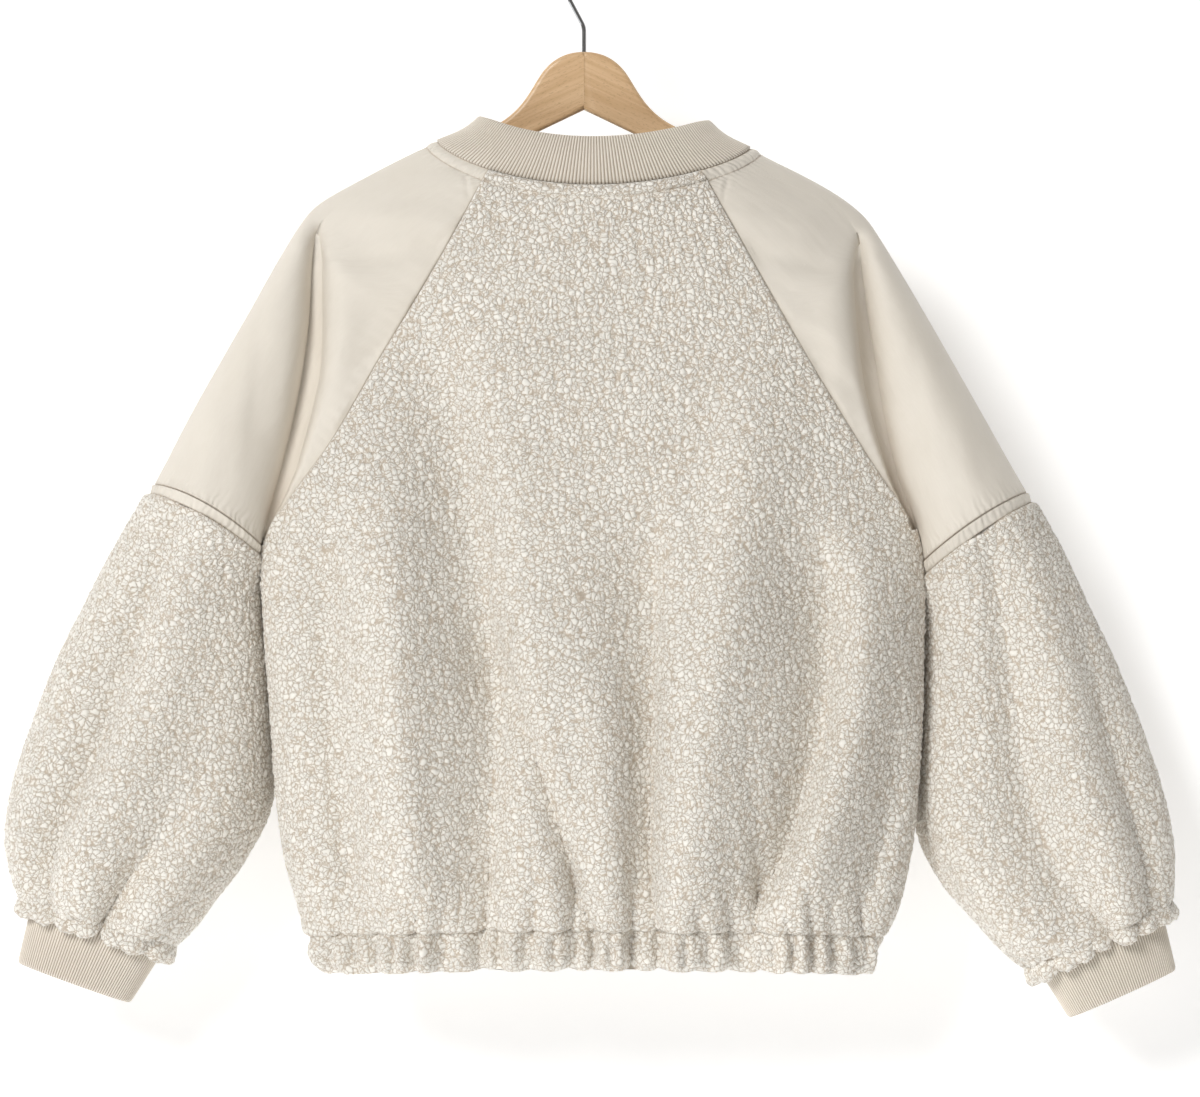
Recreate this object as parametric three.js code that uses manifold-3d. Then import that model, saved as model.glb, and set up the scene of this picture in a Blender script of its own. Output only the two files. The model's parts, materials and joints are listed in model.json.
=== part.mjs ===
// A cropped sherpa bomber jacket on a wooden hanger, in millimetres, +Z up.
// The origin is the inside top of the hook's loop, where a rail carries it. The jacket's back faces -Y,
// its zip faces +Y, and +X is the wearer's right side. Every cloth piece is a wall: a grid of points on
// the jacket's base surface, moved out by the pile and in by the backing.
import * as THREE from "three";
import { mergeVertices } from "three/addons/utils/BufferGeometryUtils.js";
import Module from "manifold-3d";

const wasm = await Module();
wasm.setup();

// ---------------------------------------------------------------- driving dimensions
const SEAM_GAP = 0.3;
const HOOK = { wire: 3.8, loop: 16, leanDeg: 28, stemX: -3.5, stemRise: 20, sunk: 24, tipDeg: -8 };
const WOOD = {
  thick: 12, halfSpan: 213, notchDrop: 46.4, notchSlope: 0.479, armSlope: 0.466, armRise: 0.5, round: 2,
};
const NECK_BELOW_WOOD = 78.4; // from the top of the wood down to the neck points of the jacket
const JACKET_X = 7.2; // the jacket hangs this far to the right of the hook's stem

const SHERPA = { out: 4.5, seamOut: 1.0, sleeveSeamOut: 2.4, in: 1.5, colour: 0xe9e4da, roughness: 0.95 };
const SHELL = { out: 0.6, seamOut: 0.6, in: 0.9, colour: 0xe6dfd3, roughness: 0.55 };
const RIB = { out: 1.7, seamOut: 1.7, in: 1.6, ridge: 0.45, colour: 0xd9d1c3, roughness: 0.9 };

const GATHERS = { back: 19, frontHalf: 10, depth: 4, fade: 38 };
const HEM = {
  tall: 31, sideZ: -628, arch: 6, roll: [2, 6.2, 6.8, 5.6, 1.2], lining: [1.5, 3.6, 4.4, 3.6, 1.2],
};
const ZIP = { edge: 7, tape: 13, chain: 2.9, behind: 3, chainOut: 1.7, tapeHalf: 0.5 };
const COLLAR = { ribs: 168, bulge: 0.03, waist: 0.0002 };
const CUFF = { ribs: 78 };
const SUPER = 2.6; // the body's sections are superellipses of this power
const NECK_CORNER = { left: 88, right: 91 }; // half-width where the raglan seams meet the neck

// ---------------------------------------------------------------- tables, in the jacket's own frame
// z is measured from the neck points; left, right are half-widths, back and front are depths.
const BODY = [
  { z: -664, left: 211, right: 222, back: 58, front: 60 },
  { z: -646, left: 219, right: 225, back: 62, front: 64 },
  { z: -628, left: 226, right: 230, back: 64, front: 66 },
  { z: -606, left: 231, right: 240, back: 74, front: 76 },
  { z: -568, left: 242, right: 249, back: 82, front: 84 },
  { z: -520, left: 249, right: 255, back: 84, front: 88 },
  { z: -456, left: 253.5, right: 259, back: 82, front: 87 },
  { z: -392, left: 258.5, right: 260.5, back: 77, front: 84 },
  { z: -326, left: 261.5, right: 261.5, back: 70, front: 78 },
  { z: -250, left: 257, right: 257, back: 65, front: 72 },
  { z: -150, left: 243, right: 243, back: 61, front: 66 },
  { z: -54, left: 222, right: 222, back: 59, front: 64 },
  { z: 20, left: 200, right: 200, back: 58, front: 62 },
];
// t runs up the raglan seam from the armpit to the neck; x is measured outwards from the centre line.
const RAGLAN = {
  left: [
    { t: 0, x: 261.5, z: -316 },
    { t: 0.1, x: 249.5, z: -290 },
    { t: 0.3, x: 208, z: -233 },
    { t: 0.52, x: 167, z: -163 },
    { t: 0.76, x: 121, z: -88 },
    { t: 1, x: 88, z: -25 },
  ],
  right: [
    { t: 0, x: 261.5, z: -328 },
    { t: 0.1, x: 254, z: -300 },
    { t: 0.3, x: 217, z: -243 },
    { t: 0.52, x: 174, z: -173 },
    { t: 0.76, x: 130, z: -96 },
    { t: 1, x: 91, z: -27 },
  ],
};
const FRONT_NECK_DROP = 42; // how far the front raglan seam's top lies below the back one's
const ROWS_UP_RAGLAN = [0, 0.1, 0.2, 0.3, 0.42, 0.52, 0.6, 0.68, 0.76, 0.88, 1];
// Rings of the neck: the panels' top edge, the collar seam and the collar's folded top.
const NECK = [
  { left: 133, right: 134, leftZ: 1.5, rightZ: -4.5, back: -41, front: -105, depthBack: 58, depthFront: 64 },
  { left: 124, right: 125, leftZ: 6, rightZ: 0.5, back: -29.5, front: -94, depthBack: 56, depthFront: 61 },
  { left: 89, right: 91, leftZ: 30, rightZ: 27, back: 9, front: -52, depthBack: 48, depthFront: 47 },
];
const NECK_SUPER = 2.3;

// The top silhouette of the shell sleeve, and the valley that hangs from the hanger's tip to the armpit.
const SHOULDER = {
  left: [
    { t: 0, x: 350, z: -268.5 },
    { t: 0.2, x: 320.2, z: -210.5 },
    { t: 0.42, x: 276.5, z: -133.5 },
    { t: 0.6, x: 241.5, z: -72.5 },
    { t: 0.68, x: 223.5, z: -47.5 },
    { t: 0.76, x: 203, z: -33.5 },
    { t: 0.88, x: 164, z: -12.3 },
    { t: 1, x: 133, z: 1.5 },
  ],
  right: [
    { t: 0, x: 346, z: -274.5 },
    { t: 0.2, x: 312.5, z: -214.5 },
    { t: 0.42, x: 269.5, z: -139 },
    { t: 0.6, x: 233.5, z: -78.5 },
    { t: 0.68, x: 216.5, z: -53.5 },
    { t: 0.76, x: 197.6, z: -37 },
    { t: 0.88, x: 162, z: -18.3 },
    { t: 1, x: 134, z: -4.5 },
  ],
};
const VALLEY = {
  left: [
    { t: 0.1, x: 254, z: -288 },
    { t: 0.2, x: 242, z: -250 },
    { t: 0.42, x: 223.5, z: -166 },
    { t: 0.6, x: 220.5, z: -86 },
    { t: 0.68, x: 217, z: -56 },
  ],
  right: [
    { t: 0.1, x: 255, z: -298 },
    { t: 0.2, x: 240, z: -260 },
    { t: 0.42, x: 221.5, z: -178 },
    { t: 0.6, x: 211.5, z: -98 },
    { t: 0.68, x: 210, z: -62 },
  ],
};
// half is the sleeve tube's half-depth, floor how near the valley's floor comes to the middle plane.
const SLEEVE_TOP = [
  { t: 0, half: 52, floor: 1, power: 5, flat: 0.5 },
  { t: 0.2, half: 51, floor: 13, power: 5, flat: 0.5 },
  { t: 0.42, half: 43, floor: 19, power: 4.5, flat: 0.5 },
  { t: 0.6, half: 23, floor: 16, power: 3, flat: 0.65 },
  { t: 0.68, half: 11, floor: 10, power: 1.9, flat: 0.8 },
  { t: 1, half: 11, floor: 10, power: 1.9, flat: 0.8 },
];
// Lower sleeve: the outer and inner silhouette points of each ring, its half-depth and how far it
// swings forward. The first row is the bottom of the welt, the last two are the cuff.
const SLEEVE = {
  left: [
    { s: 0, ox: 350, oz: -268.5, ix: 265, iz: -316.5, half: 52, swing: 0 },
    { s: 1, ox: 353.5, oz: -276, ix: 266, iz: -325, half: 52, swing: 7 },
    { s: 2, ox: 378.5, oz: -317, ix: 269, iz: -360, half: 54, swing: 26 },
    { s: 3, ox: 402, oz: -361, ix: 263, iz: -412, half: 57, swing: 34 },
    { s: 4, ox: 426, oz: -409, ix: 260, iz: -470, half: 59, swing: 37 },
    { s: 5, ox: 445, oz: -457, ix: 263, iz: -524, half: 60, swing: 37 },
    { s: 6, ox: 461, oz: -505, ix: 283, iz: -566, half: 60, swing: 35 },
    { s: 7, ox: 468, oz: -545, ix: 308, iz: -600, half: 57, swing: 32 },
    { s: 8, ox: 466, oz: -573, ix: 325, iz: -623, half: 51, swing: 31 },
    { s: 9, ox: 459, oz: -595, ix: 338, iz: -634, half: 42, swing: 30 },
    { s: 10, ox: 449, oz: -605, ix: 346, iz: -640, half: 28, swing: 30 },
    { s: 11, ox: 454, oz: -627, ix: 361, iz: -663, half: 24, swing: 30 },
    { s: 12, ox: 460, oz: -652, ix: 373.5, iz: -683, half: 25, swing: 30 },
  ],
  right: [
    { s: 0, ox: 346, oz: -274.5, ix: 264, iz: -329, half: 52, swing: 0 },
    { s: 1, ox: 350, oz: -283, ix: 265.5, iz: -340, half: 52, swing: 7 },
    { s: 2, ox: 370.5, oz: -318, ix: 268.5, iz: -378, half: 54, swing: 26 },
    { s: 3, ox: 394, oz: -367, ix: 266.5, iz: -428, half: 57, swing: 35 },
    { s: 4, ox: 417, oz: -415, ix: 264, iz: -484, half: 59, swing: 40 },
    { s: 5, ox: 437, oz: -465, ix: 264, iz: -540, half: 60, swing: 41 },
    { s: 6, ox: 453, oz: -513, ix: 282, iz: -582, half: 60, swing: 38 },
    { s: 7, ox: 462, oz: -554, ix: 312, iz: -617, half: 57, swing: 35 },
    { s: 8, ox: 463, oz: -584, ix: 334, iz: -641, half: 51, swing: 33 },
    { s: 9, ox: 461, oz: -601, ix: 349, iz: -651, half: 42, swing: 32 },
    { s: 10, ox: 455, oz: -609, ix: 359, iz: -655, half: 28, swing: 32 },
    { s: 11, ox: 459.5, oz: -632, ix: 372, iz: -674, half: 24, swing: 32 },
    { s: 12, ox: 466.5, oz: -658, ix: 384, iz: -695, half: 25, swing: 32 },
  ],
};
// Folds of the body, top and bottom of each in x and z; rise is out of the cloth, and the two widths
// are how far it spreads to -X and +X.
const BACK_FOLDS = [
  { x0: -210, z0: -330, x1: -197, z1: -580, rise: -7, wide0: 32, wide1: 28 },
  { x0: -164, z0: -250, x1: -146, z1: -612, rise: 7, wide0: 26, wide1: 24 },
  { x0: -112, z0: -130, x1: -76, z1: -612, rise: -12, wide0: 34, wide1: 26 },
  { x0: -66, z0: -430, x1: -44, z1: -600, rise: 6, wide0: 16, wide1: 14 },
  { x0: -50, z0: -400, x1: -13, z1: -612, rise: -7, wide0: 18, wide1: 12 },
  { x0: 4, z0: -430, x1: 16, z1: -612, rise: 5, wide0: 24, wide1: 24 },
  { x0: 80, z0: -280, x1: 42, z1: -620, rise: -11, wide0: 30, wide1: 15 },
  { x0: 116, z0: -300, x1: 72, z1: -612, rise: 8, wide0: 16, wide1: 30 },
  { x0: 168, z0: -340, x1: 126, z1: -618, rise: -11, wide0: 28, wide1: 14 },
  { x0: 214, z0: -380, x1: 166, z1: -606, rise: 7, wide0: 16, wide1: 26 },
  { x0: 236, z0: -520, x1: 212, z1: -616, rise: -5, wide0: 14, wide1: 12 },
];
const FRONT_FOLDS = [
  { x0: -196, z0: -320, x1: -186, z1: -600, rise: -8, wide0: 30, wide1: 24 },
  { x0: -150, z0: -260, x1: -132, z1: -606, rise: 7, wide0: 26, wide1: 24 },
  { x0: -104, z0: -200, x1: -80, z1: -612, rise: -10, wide0: 28, wide1: 20 },
  { x0: -58, z0: -400, x1: -48, z1: -606, rise: 6, wide0: 20, wide1: 16 },
  { x0: 62, z0: -380, x1: 50, z1: -606, rise: 6, wide0: 18, wide1: 22 },
  { x0: 108, z0: -220, x1: 84, z1: -612, rise: -10, wide0: 22, wide1: 28 },
  { x0: 156, z0: -280, x1: 134, z1: -606, rise: 7, wide0: 24, wide1: 26 },
  { x0: 202, z0: -330, x1: 182, z1: -604, rise: -8, wide0: 26, wide1: 26 },
];
// Folds of the lower sleeves: angle round the tube from the underarm (the back is 90) and ring number.
const SLEEVE_FOLDS = {
  left: [
    { a0: 148, s0: 1.2, a1: 136, s1: 9.6, rise: -8, wide: 17 },
    { a0: 112, s0: 1.4, a1: 106, s1: 9.4, rise: 6, wide: 18 },
    { a0: 66, s0: 2.5, a1: 82, s1: 9.7, rise: -8, wide: 15 },
    { a0: 40, s0: 5, a1: 52, s1: 9.6, rise: 5, wide: 14 },
    { a0: 212, s0: 2, a1: 222, s1: 9.6, rise: -7, wide: 17 },
    { a0: 262, s0: 1.6, a1: 268, s1: 9.5, rise: 6, wide: 20 },
    { a0: 304, s0: 3, a1: 300, s1: 9.6, rise: -7, wide: 16 },
  ],
  right: [
    { a0: 112, s0: 1.4, a1: 100, s1: 8.6, rise: -8, wide: 20 },
    { a0: 70, s0: 1.6, a1: 66, s1: 9, rise: 6, wide: 17 },
    { a0: 150, s0: 3, a1: 142, s1: 9.4, rise: 6, wide: 16 },
    { a0: 128, s0: 7, a1: 122, s1: 9.9, rise: -7, wide: 9 },
    { a0: 36, s0: 4, a1: 44, s1: 9.6, rise: -6, wide: 14 },
    { a0: 214, s0: 2, a1: 226, s1: 9.6, rise: -7, wide: 17 },
    { a0: 258, s0: 1.6, a1: 262, s1: 9.5, rise: 6, wide: 20 },
    { a0: 306, s0: 3, a1: 298, s1: 9.6, rise: -7, wide: 16 },
  ],
};

// ---------------------------------------------------------------- small mathematics
const V = (x, y, z) => new THREE.Vector3(x, y, z);
const { lerp, clamp, smoothstep, degToRad } = THREE.MathUtils;
const SIGN = { left: -1, right: 1 };
const SIDES = ["left", "right"];

/** A smooth curve through a table's column, by the key column. */
function follow(table, key, column, at) {
  const last = table.length - 1;
  const x = clamp(at, table[0][key], table[last][key]);
  let k = 0;
  while (k < last - 1 && x > table[k + 1][key]) k += 1;
  const slope = (i) => {
    const a = table[Math.max(i - 1, 0)];
    const b = table[Math.min(i + 1, last)];
    return (b[column] - a[column]) / (b[key] - a[key]);
  };
  const span = table[k + 1][key] - table[k][key];
  const u = (x - table[k][key]) / span;
  const bend = (a, b, ta, tb) =>
    a * (1 + 2 * u) * (1 - u) ** 2 +
    b * u * u * (3 - 2 * u) +
    span * (ta * u * (1 - u) ** 2 - tb * u * u * (1 - u));
  return bend(table[k][column], table[k + 1][column], slope(k), slope(k + 1));
}

/** count + 1 points evenly spaced along a curve, which is a function of a number from 0 to 1. */
function evenly(curve, count, fine = 160) {
  const points = Array.from({ length: fine + 1 }, (_, k) => curve(k / fine));
  const run = [0];
  for (let k = 1; k <= fine; k += 1) run.push(run[k - 1] + points[k].distanceTo(points[k - 1]));
  let k = 1;
  return Array.from({ length: count + 1 }, (_, i) => {
    const target = (run[fine] * i) / count;
    while (k < fine && run[k] < target) k += 1;
    const u = (target - run[k - 1]) / (run[k] - run[k - 1]);
    return points[k - 1].clone().lerp(points[k], u);
  });
}

// ---------------------------------------------------------------- the jacket's base surface
/** Soft relief of a table of folds at (x, z): the sum of ridges and valleys. */
function foldRelief(folds, x, z) {
  let sum = 0;
  for (const f of folds) {
    const along = clamp((f.z0 - z) / (f.z0 - f.z1), 0, 1);
    const off = x - lerp(f.x0, f.x1, along);
    const wide = off < 0 ? f.wide0 : f.wide1;
    const fade = smoothstep((f.z0 - z) / (f.z0 - f.z1), 0, 0.45);
    sum += f.rise * fade * Math.exp(-((off / wide) ** 2));
  }
  return sum * lerp(0.4, 1, smoothstep(z, HEM.sideZ, HEM.sideZ + 75));
}

/** Height of the hem seam above its own side points, which the casing's bottom edge shares. */
const hemZ = (x) => HEM.sideZ + HEM.arch * (1 - Math.min(1, (x / 228) ** 2));

/** y of the body's base surface on the back (face -1) or the front (face 1). */
function bodyY(face, x, z) {
  const half = follow(BODY, "z", x < 0 ? "left" : "right", z);
  const depth = follow(BODY, "z", face < 0 ? "back" : "front", z);
  const ratio = Math.min(1, Math.abs(x) / half);
  const round = Math.sqrt(1 - ratio ** SUPER);
  const relief = foldRelief(face < 0 ? BACK_FOLDS : FRONT_FOLDS, x, z) * Math.min(1, round * 1.6);
  const byZip = face > 0 ? smoothstep(Math.abs(x), 10, 34) : 1;
  return face * (depth * round + relief * byZip);
}

/** Half the width of a neck ring, on the side of x. */
const neckHalf = (ring, x) => (x < 0 ? NECK[ring].left : NECK[ring].right);
function neckPoint(ring, angle) {
  const r = NECK[ring];
  const s = Math.sin(angle);
  const c = Math.cos(angle);
  const side = lerp(r.leftZ, r.rightZ, (1 + s) / 2);
  const depth = c > 0 ? -r.depthBack : r.depthFront;
  const z = side + ((c > 0 ? r.back : r.front) - side) * Math.abs(c) ** 1.5;
  return V(neckHalf(ring, s) * s, depth * Math.sqrt(Math.max(0, 1 - Math.abs(s) ** NECK_SUPER)), z);
}
/** The angle, from the centre back, of a point on or near a neck ring. */
function angleAt(ring, p) {
  const a = Math.asin(clamp(p.x / neckHalf(ring, p.x), -1, 1));
  return p.y < 0 ? a : (Math.sign(p.x) || 1) * Math.PI - a;
}
/** Ring angles, evenly spaced along the collar seam, between two angles. */
function neckAngles(from, to, count) {
  const fine = evenly((u) => neckPoint(1, lerp(from, to, u)), count);
  return fine.map((p, i) => {
    if (i === 0) return from;
    if (i === count) return to;
    return angleAt(1, p);
  });
}
const cornerAngle = (side, face) => {
  const a = Math.asin(NECK_CORNER[side] / NECK[0][side]);
  return SIGN[side] * (face < 0 ? a : Math.PI - a);
};
const zipAngle = (ring) => Math.PI - Math.asin(ZIP.edge / NECK[ring].right);

/** A point of the raglan seam: t is 0 at the armpit and 1 at the neck. */
function raglan(side, face, t) {
  const x = SIGN[side] * follow(RAGLAN[side], "t", "x", t);
  const z = follow(RAGLAN[side], "t", "z", t) - (face > 0 ? FRONT_NECK_DROP * t ** 1.5 : 0);
  const corner = neckPoint(0, cornerAngle(side, face));
  const near = smoothstep(t, 0.6, 1);
  return V(lerp(x, corner.x, near), lerp(bodyY(face, x, z), corner.y, near), lerp(z, corner.z, near));
}

/** A row of a body panel above the armpits, from one raglan seam (or the zip) to the other. */
function upperRow(face, t, from, to, count) {
  const [a, b] = [from(t), to(t)];
  const [topA, topB] = [from(1), to(1)];
  const near = smoothstep(t, 0.6, 1);
  return evenly((u) => {
    const x = lerp(a.x, b.x, (1 - Math.cos(Math.PI * u)) / 2);
    const share = (x - a.x) / (b.x - a.x);
    const top = neckPoint(0, angleAt(0, V(lerp(topA.x, topB.x, share), face, 0)));
    const sag = (top.z - lerp(topA.z, topB.z, share)) * t ** 2;
    const z = lerp(a.z, b.z, share) + sag;
    return V(x, lerp(bodyY(face, x, z), top.y, near), z);
  }, count);
}

/** Heights of the rows below the armpit, as shares from the hem seam, closer together at the gathers. */
const LOWER_ROWS = [0, 0.035, 0.1, 0.2, 0.33, 0.49, 0.66, 0.83];
const armpitZ = (side) => RAGLAN[side][0].z;

/** Points of the body's section along a height curve; an infinite end is the side seam. */
function sectionRow(face, zAt, x0, x1, count) {
  const ends = [x0, x1].map((x) => {
    let end = x;
    for (let k = 0; k < 4 && !Number.isFinite(x); k += 1) {
      end = Math.sign(x) * follow(BODY, "z", x < 0 ? "left" : "right", zAt(clamp(end, -262, 262)));
    }
    return end;
  });
  return evenly((u) => {
    const x = lerp(ends[0], ends[1], (1 - Math.cos(Math.PI * u)) / 2);
    const onSeam = (u === 0 && !Number.isFinite(x0)) || (u === 1 && !Number.isFinite(x1));
    return V(x, onSeam ? 0 : bodyY(face, x, zAt(x)), zAt(x));
  }, count);
}

/** A row of a body panel below the armpits; x0 and x1 say which part of the section it spans. */
function lowerRow(face, share, x0, x1, count, gathers) {
  const zAt = (x) => {
    const mix = clamp((x + 262) / 524, 0, 1);
    return lerp(hemZ(x), lerp(armpitZ("left"), armpitZ("right"), mix), share);
  };
  const row = sectionRow(face, zAt, x0, x1, count);
  return row.map((p, i) => gather(face, p, i / count, gathers, p.z - hemZ(p.x)));
}

/** Moves a point out and in with the gathers, which fade with height above (or below) the hem seam. */
function gather(face, p, share, gathers, above) {
  const wave = -Math.cos(2 * Math.PI * gathers * share) * Math.exp(-Math.abs(above) / GATHERS.fade);
  const byZip = face > 0 ? smoothstep(Math.abs(p.x), 12, 24) : 1;
  const out = V(p.x * 0.25, p.y, 0).normalize();
  return p.clone().addScaledVector(out, GATHERS.depth * wave * byZip);
}

const BACK_COLUMNS = 38;
const FRONT_COLUMNS = 20;
function backRows() {
  const lower = LOWER_ROWS.map((h) => lowerRow(-1, h, -Infinity, Infinity, BACK_COLUMNS, GATHERS.back));
  const edge = (side) => (t) => raglan(side, -1, t);
  const upper = ROWS_UP_RAGLAN.map((t) => upperRow(-1, t, edge("left"), edge("right"), BACK_COLUMNS));
  return [...lower, ...upper];
}
function frontRows(side) {
  const zipX = SIGN[side] * ZIP.edge;
  const out = SIGN[side] * Infinity;
  const lower = LOWER_ROWS.map((h) => lowerRow(1, h, zipX, out, FRONT_COLUMNS, GATHERS.frontHalf));
  const centre = (t) => {
    const z = lerp(lerp(armpitZ("left"), armpitZ("right"), 0.5), NECK[0].front, t);
    const top = neckPoint(0, SIGN[side] * zipAngle(0));
    const near = smoothstep(t, 0.6, 1);
    return V(zipX, lerp(bodyY(1, zipX, z), top.y, near), lerp(z, top.z, t));
  };
  const edge = (t) => raglan(side, 1, t);
  const upper = ROWS_UP_RAGLAN.map((t) => upperRow(1, t, centre, edge, FRONT_COLUMNS));
  return [...lower, ...upper];
}

// ---------------------------------------------------------------- sleeves
const WELT_BOW = { left: 10, right: 7 }; // the welt rings arch upwards this far between their ends

/** Centre, axes and half-depth of the lower sleeve's ring s. */
function ringAt(side, s) {
  const g = (column) => follow(SLEEVE[side], "s", column, s);
  const outer = V(SIGN[side] * g("ox"), g("swing"), g("oz"));
  const inner = V(SIGN[side] * g("ix"), g("swing"), g("iz"));
  const arm = inner.clone().sub(outer).multiplyScalar(0.5);
  return { centre: outer.clone().lerp(inner, 0.5), arm, half: g("half") };
}
/** A point of ring s: angle 0 is the underarm, 90 degrees the back, 180 the outer edge. */
function ringPoint(side, s, angle) {
  const { centre, arm, half } = ringAt(side, s);
  const c = Math.cos(angle);
  const bow = WELT_BOW[side] * Math.max(0, 1 - c * c) ** 0.8 * clamp(1 - s / 6, 0, 1);
  return centre.clone().addScaledVector(arm, c).add(V(0, -half * Math.sin(angle), bow));
}
const ringRow = (side, s, count) => evenly((u) => ringPoint(side, s, 2 * Math.PI * u), count).slice(0, count);

/** The direction out of a ring at a point, in the ring's own plane. */
function ringNormal(side, s, p) {
  const { centre, arm, half } = ringAt(side, s);
  const a = arm.length();
  const along = arm.clone().normalize();
  const d = p.clone().sub(centre);
  return along.multiplyScalar(d.dot(along) / a ** 2).add(V(0, d.y / half ** 2, 0)).normalize();
}

const SLEEVE_COLUMNS = 28;
const WELT_RINGS = [0.06, 0.5, 1];
const SLEEVE_RINGS = [1, 1.35, 2.2, 3.3, 4.4, 5.4, 6.4, 7.2, 8, 8.7, 9.35, 9.95];

/** Lower sleeve: folds run down the balloon, and gathers meet the cuff. */
function lowerSleeveRows(side) {
  return SLEEVE_RINGS.map((s) =>
    ringRow(side, s, SLEEVE_COLUMNS).map((p, i) => {
      const n = ringNormal(side, s, p);
      const share = i / SLEEVE_COLUMNS;
      const wave = -Math.cos(Math.PI * i) * GATHERS.depth * Math.exp(-(10 - s) / 0.8);
      return p.addScaledVector(n, wave + sleeveFolds(side, share * 360, s));
    }),
  );
}
function sleeveFolds(side, degrees, s) {
  let sum = 0;
  for (const f of SLEEVE_FOLDS[side]) {
    const along = clamp((s - f.s0) / (f.s1 - f.s0), 0, 1);
    const off = degrees - lerp(f.a0, f.a1, along);
    const fade = Math.sin(Math.PI * clamp(0.12 + 0.88 * ((s - f.s0) / (f.s1 - f.s0)), 0, 1) ** 1.5) ** 0.8;
    sum += f.rise * fade * Math.exp(-((off / f.wide) ** 2));
  }
  return s > 9.9 ? 0 : sum;
}

/** Shell sleeve: each row goes from the back raglan seam over the shoulder to the front one. */
const SEAM_TO_VALLEY = [0, 0.3, 0.58, 0.82, 1];
const TUBE_STEPS = 6;
function halfShellRow(side, face, t) {
  const g = (column) => follow(SLEEVE_TOP, "t", column, t);
  const seam = raglan(side, face, t);
  const top = V(SIGN[side] * follow(SHOULDER[side], "t", "x", t), 0, follow(SHOULDER[side], "t", "z", t));
  const flatSeam = V(seam.x, 0, seam.z);
  const valley =
    t < 0.68
      ? V(SIGN[side] * follow(VALLEY[side], "t", "x", t), 0, follow(VALLEY[side], "t", "z", t))
      : top.clone().add(flatSeam.clone().sub(top).setLength(9));
  const row = SEAM_TO_VALLEY.map((u) => {
    const depth = g("floor") + (Math.abs(seam.y) - g("floor")) * (1 - u ** g("power")) ** g("flat");
    return flatSeam.clone().lerp(valley, u).setY(face * depth);
  });
  const start = Math.asin(clamp(g("floor") / g("half"), 0, 1));
  const out = top.clone().sub(valley);
  const reach = 1 / (1 + Math.cos(start));
  for (let k = 1; k <= TUBE_STEPS; k += 1) {
    const a = lerp(start, Math.PI, k / TUBE_STEPS);
    const along = (Math.cos(start) - Math.cos(a)) * reach;
    row.push(valley.clone().addScaledVector(out, along).setY(face * g("half") * Math.sin(a)));
  }
  return row;
}
/** The bottom row lies on the welt's ring, and the top row on the neck ring. */
function shellRow(side, t) {
  const steps = SEAM_TO_VALLEY.length - 1 + TUBE_STEPS;
  if (t === 0) {
    const overTube = Array.from({ length: TUBE_STEPS }, (_, k) => lerp(10, 180, (k + 1) / TUBE_STEPS));
    const angles = [0.7, 2.5, 5, 7.5, 10, ...overTube];
    const back = angles.map((a) => ringPoint(side, 0, degToRad(a)));
    const front = angles.map((a) => ringPoint(side, 0, degToRad(360 - a))).reverse();
    return [...back, ...front.slice(1)];
  }
  const back = halfShellRow(side, -1, t);
  const front = halfShellRow(side, 1, t).reverse();
  const row = [...back, ...front.slice(1)];
  const near = smoothstep(t, 0.66, 1);
  if (near === 0) return row;
  const angles = shellNeckAngles(side, steps);
  return row.map((p, i) => p.lerp(neckPoint(0, angles[i]), near));
}
function shellNeckAngles(side, steps) {
  const middle = (SIGN[side] * Math.PI) / 2;
  const back = neckAngles(cornerAngle(side, -1), middle, steps);
  const front = neckAngles(middle, cornerAngle(side, 1), steps);
  return [...back, ...front.slice(1)];
}

// ---------------------------------------------------------------- walls
const key = (p) => [p.x, p.y, p.z].map((c) => Math.round(c * 50)).join();
const cross = (a, b) => a.clone().cross(b);

/** Unit normals of a grid of points, facing away from its inside point. */
function gridNormals({ rows, closed, inside }) {
  const last = rows.length - 1;
  let outwards = 0;
  const normals = rows.map((row, j) =>
    row.map((p, i) => {
      const n = row.length;
      const before = closed ? row[(i + n - 1) % n] : row[Math.max(i - 1, 0)];
      const after = closed ? row[(i + 1) % n] : row[Math.min(i + 1, n - 1)];
      const up = rows[Math.min(j + 1, last)][i].clone().sub(rows[Math.max(j - 1, 0)][i]);
      const normal = cross(after.clone().sub(before), up).normalize();
      outwards += normal.dot(p.clone().sub(inside));
      return normal;
    }),
  );
  if (outwards < 0) normals.flat().forEach((n) => n.negate());
  return normals;
}

/** Points on a shared seam take the mean of the normals of the panels that meet there. */
function weldNormals(panels) {
  const sums = new Map();
  const edges = (panel, visit) =>
    panel.rows.forEach((row, j) =>
      row.forEach((p, i) => {
        if (i === 0 || i === row.length - 1) visit(key(p), panel.normals[j], i);
      }),
    );
  panels.forEach((panel) =>
    edges(panel, (k, row, i) => sums.set(k, (sums.get(k) || V(0, 0, 0)).add(row[i]))),
  );
  panels.forEach((panel) => edges(panel, (k, row, i) => (row[i] = sums.get(k).clone().normalize())));
}

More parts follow.
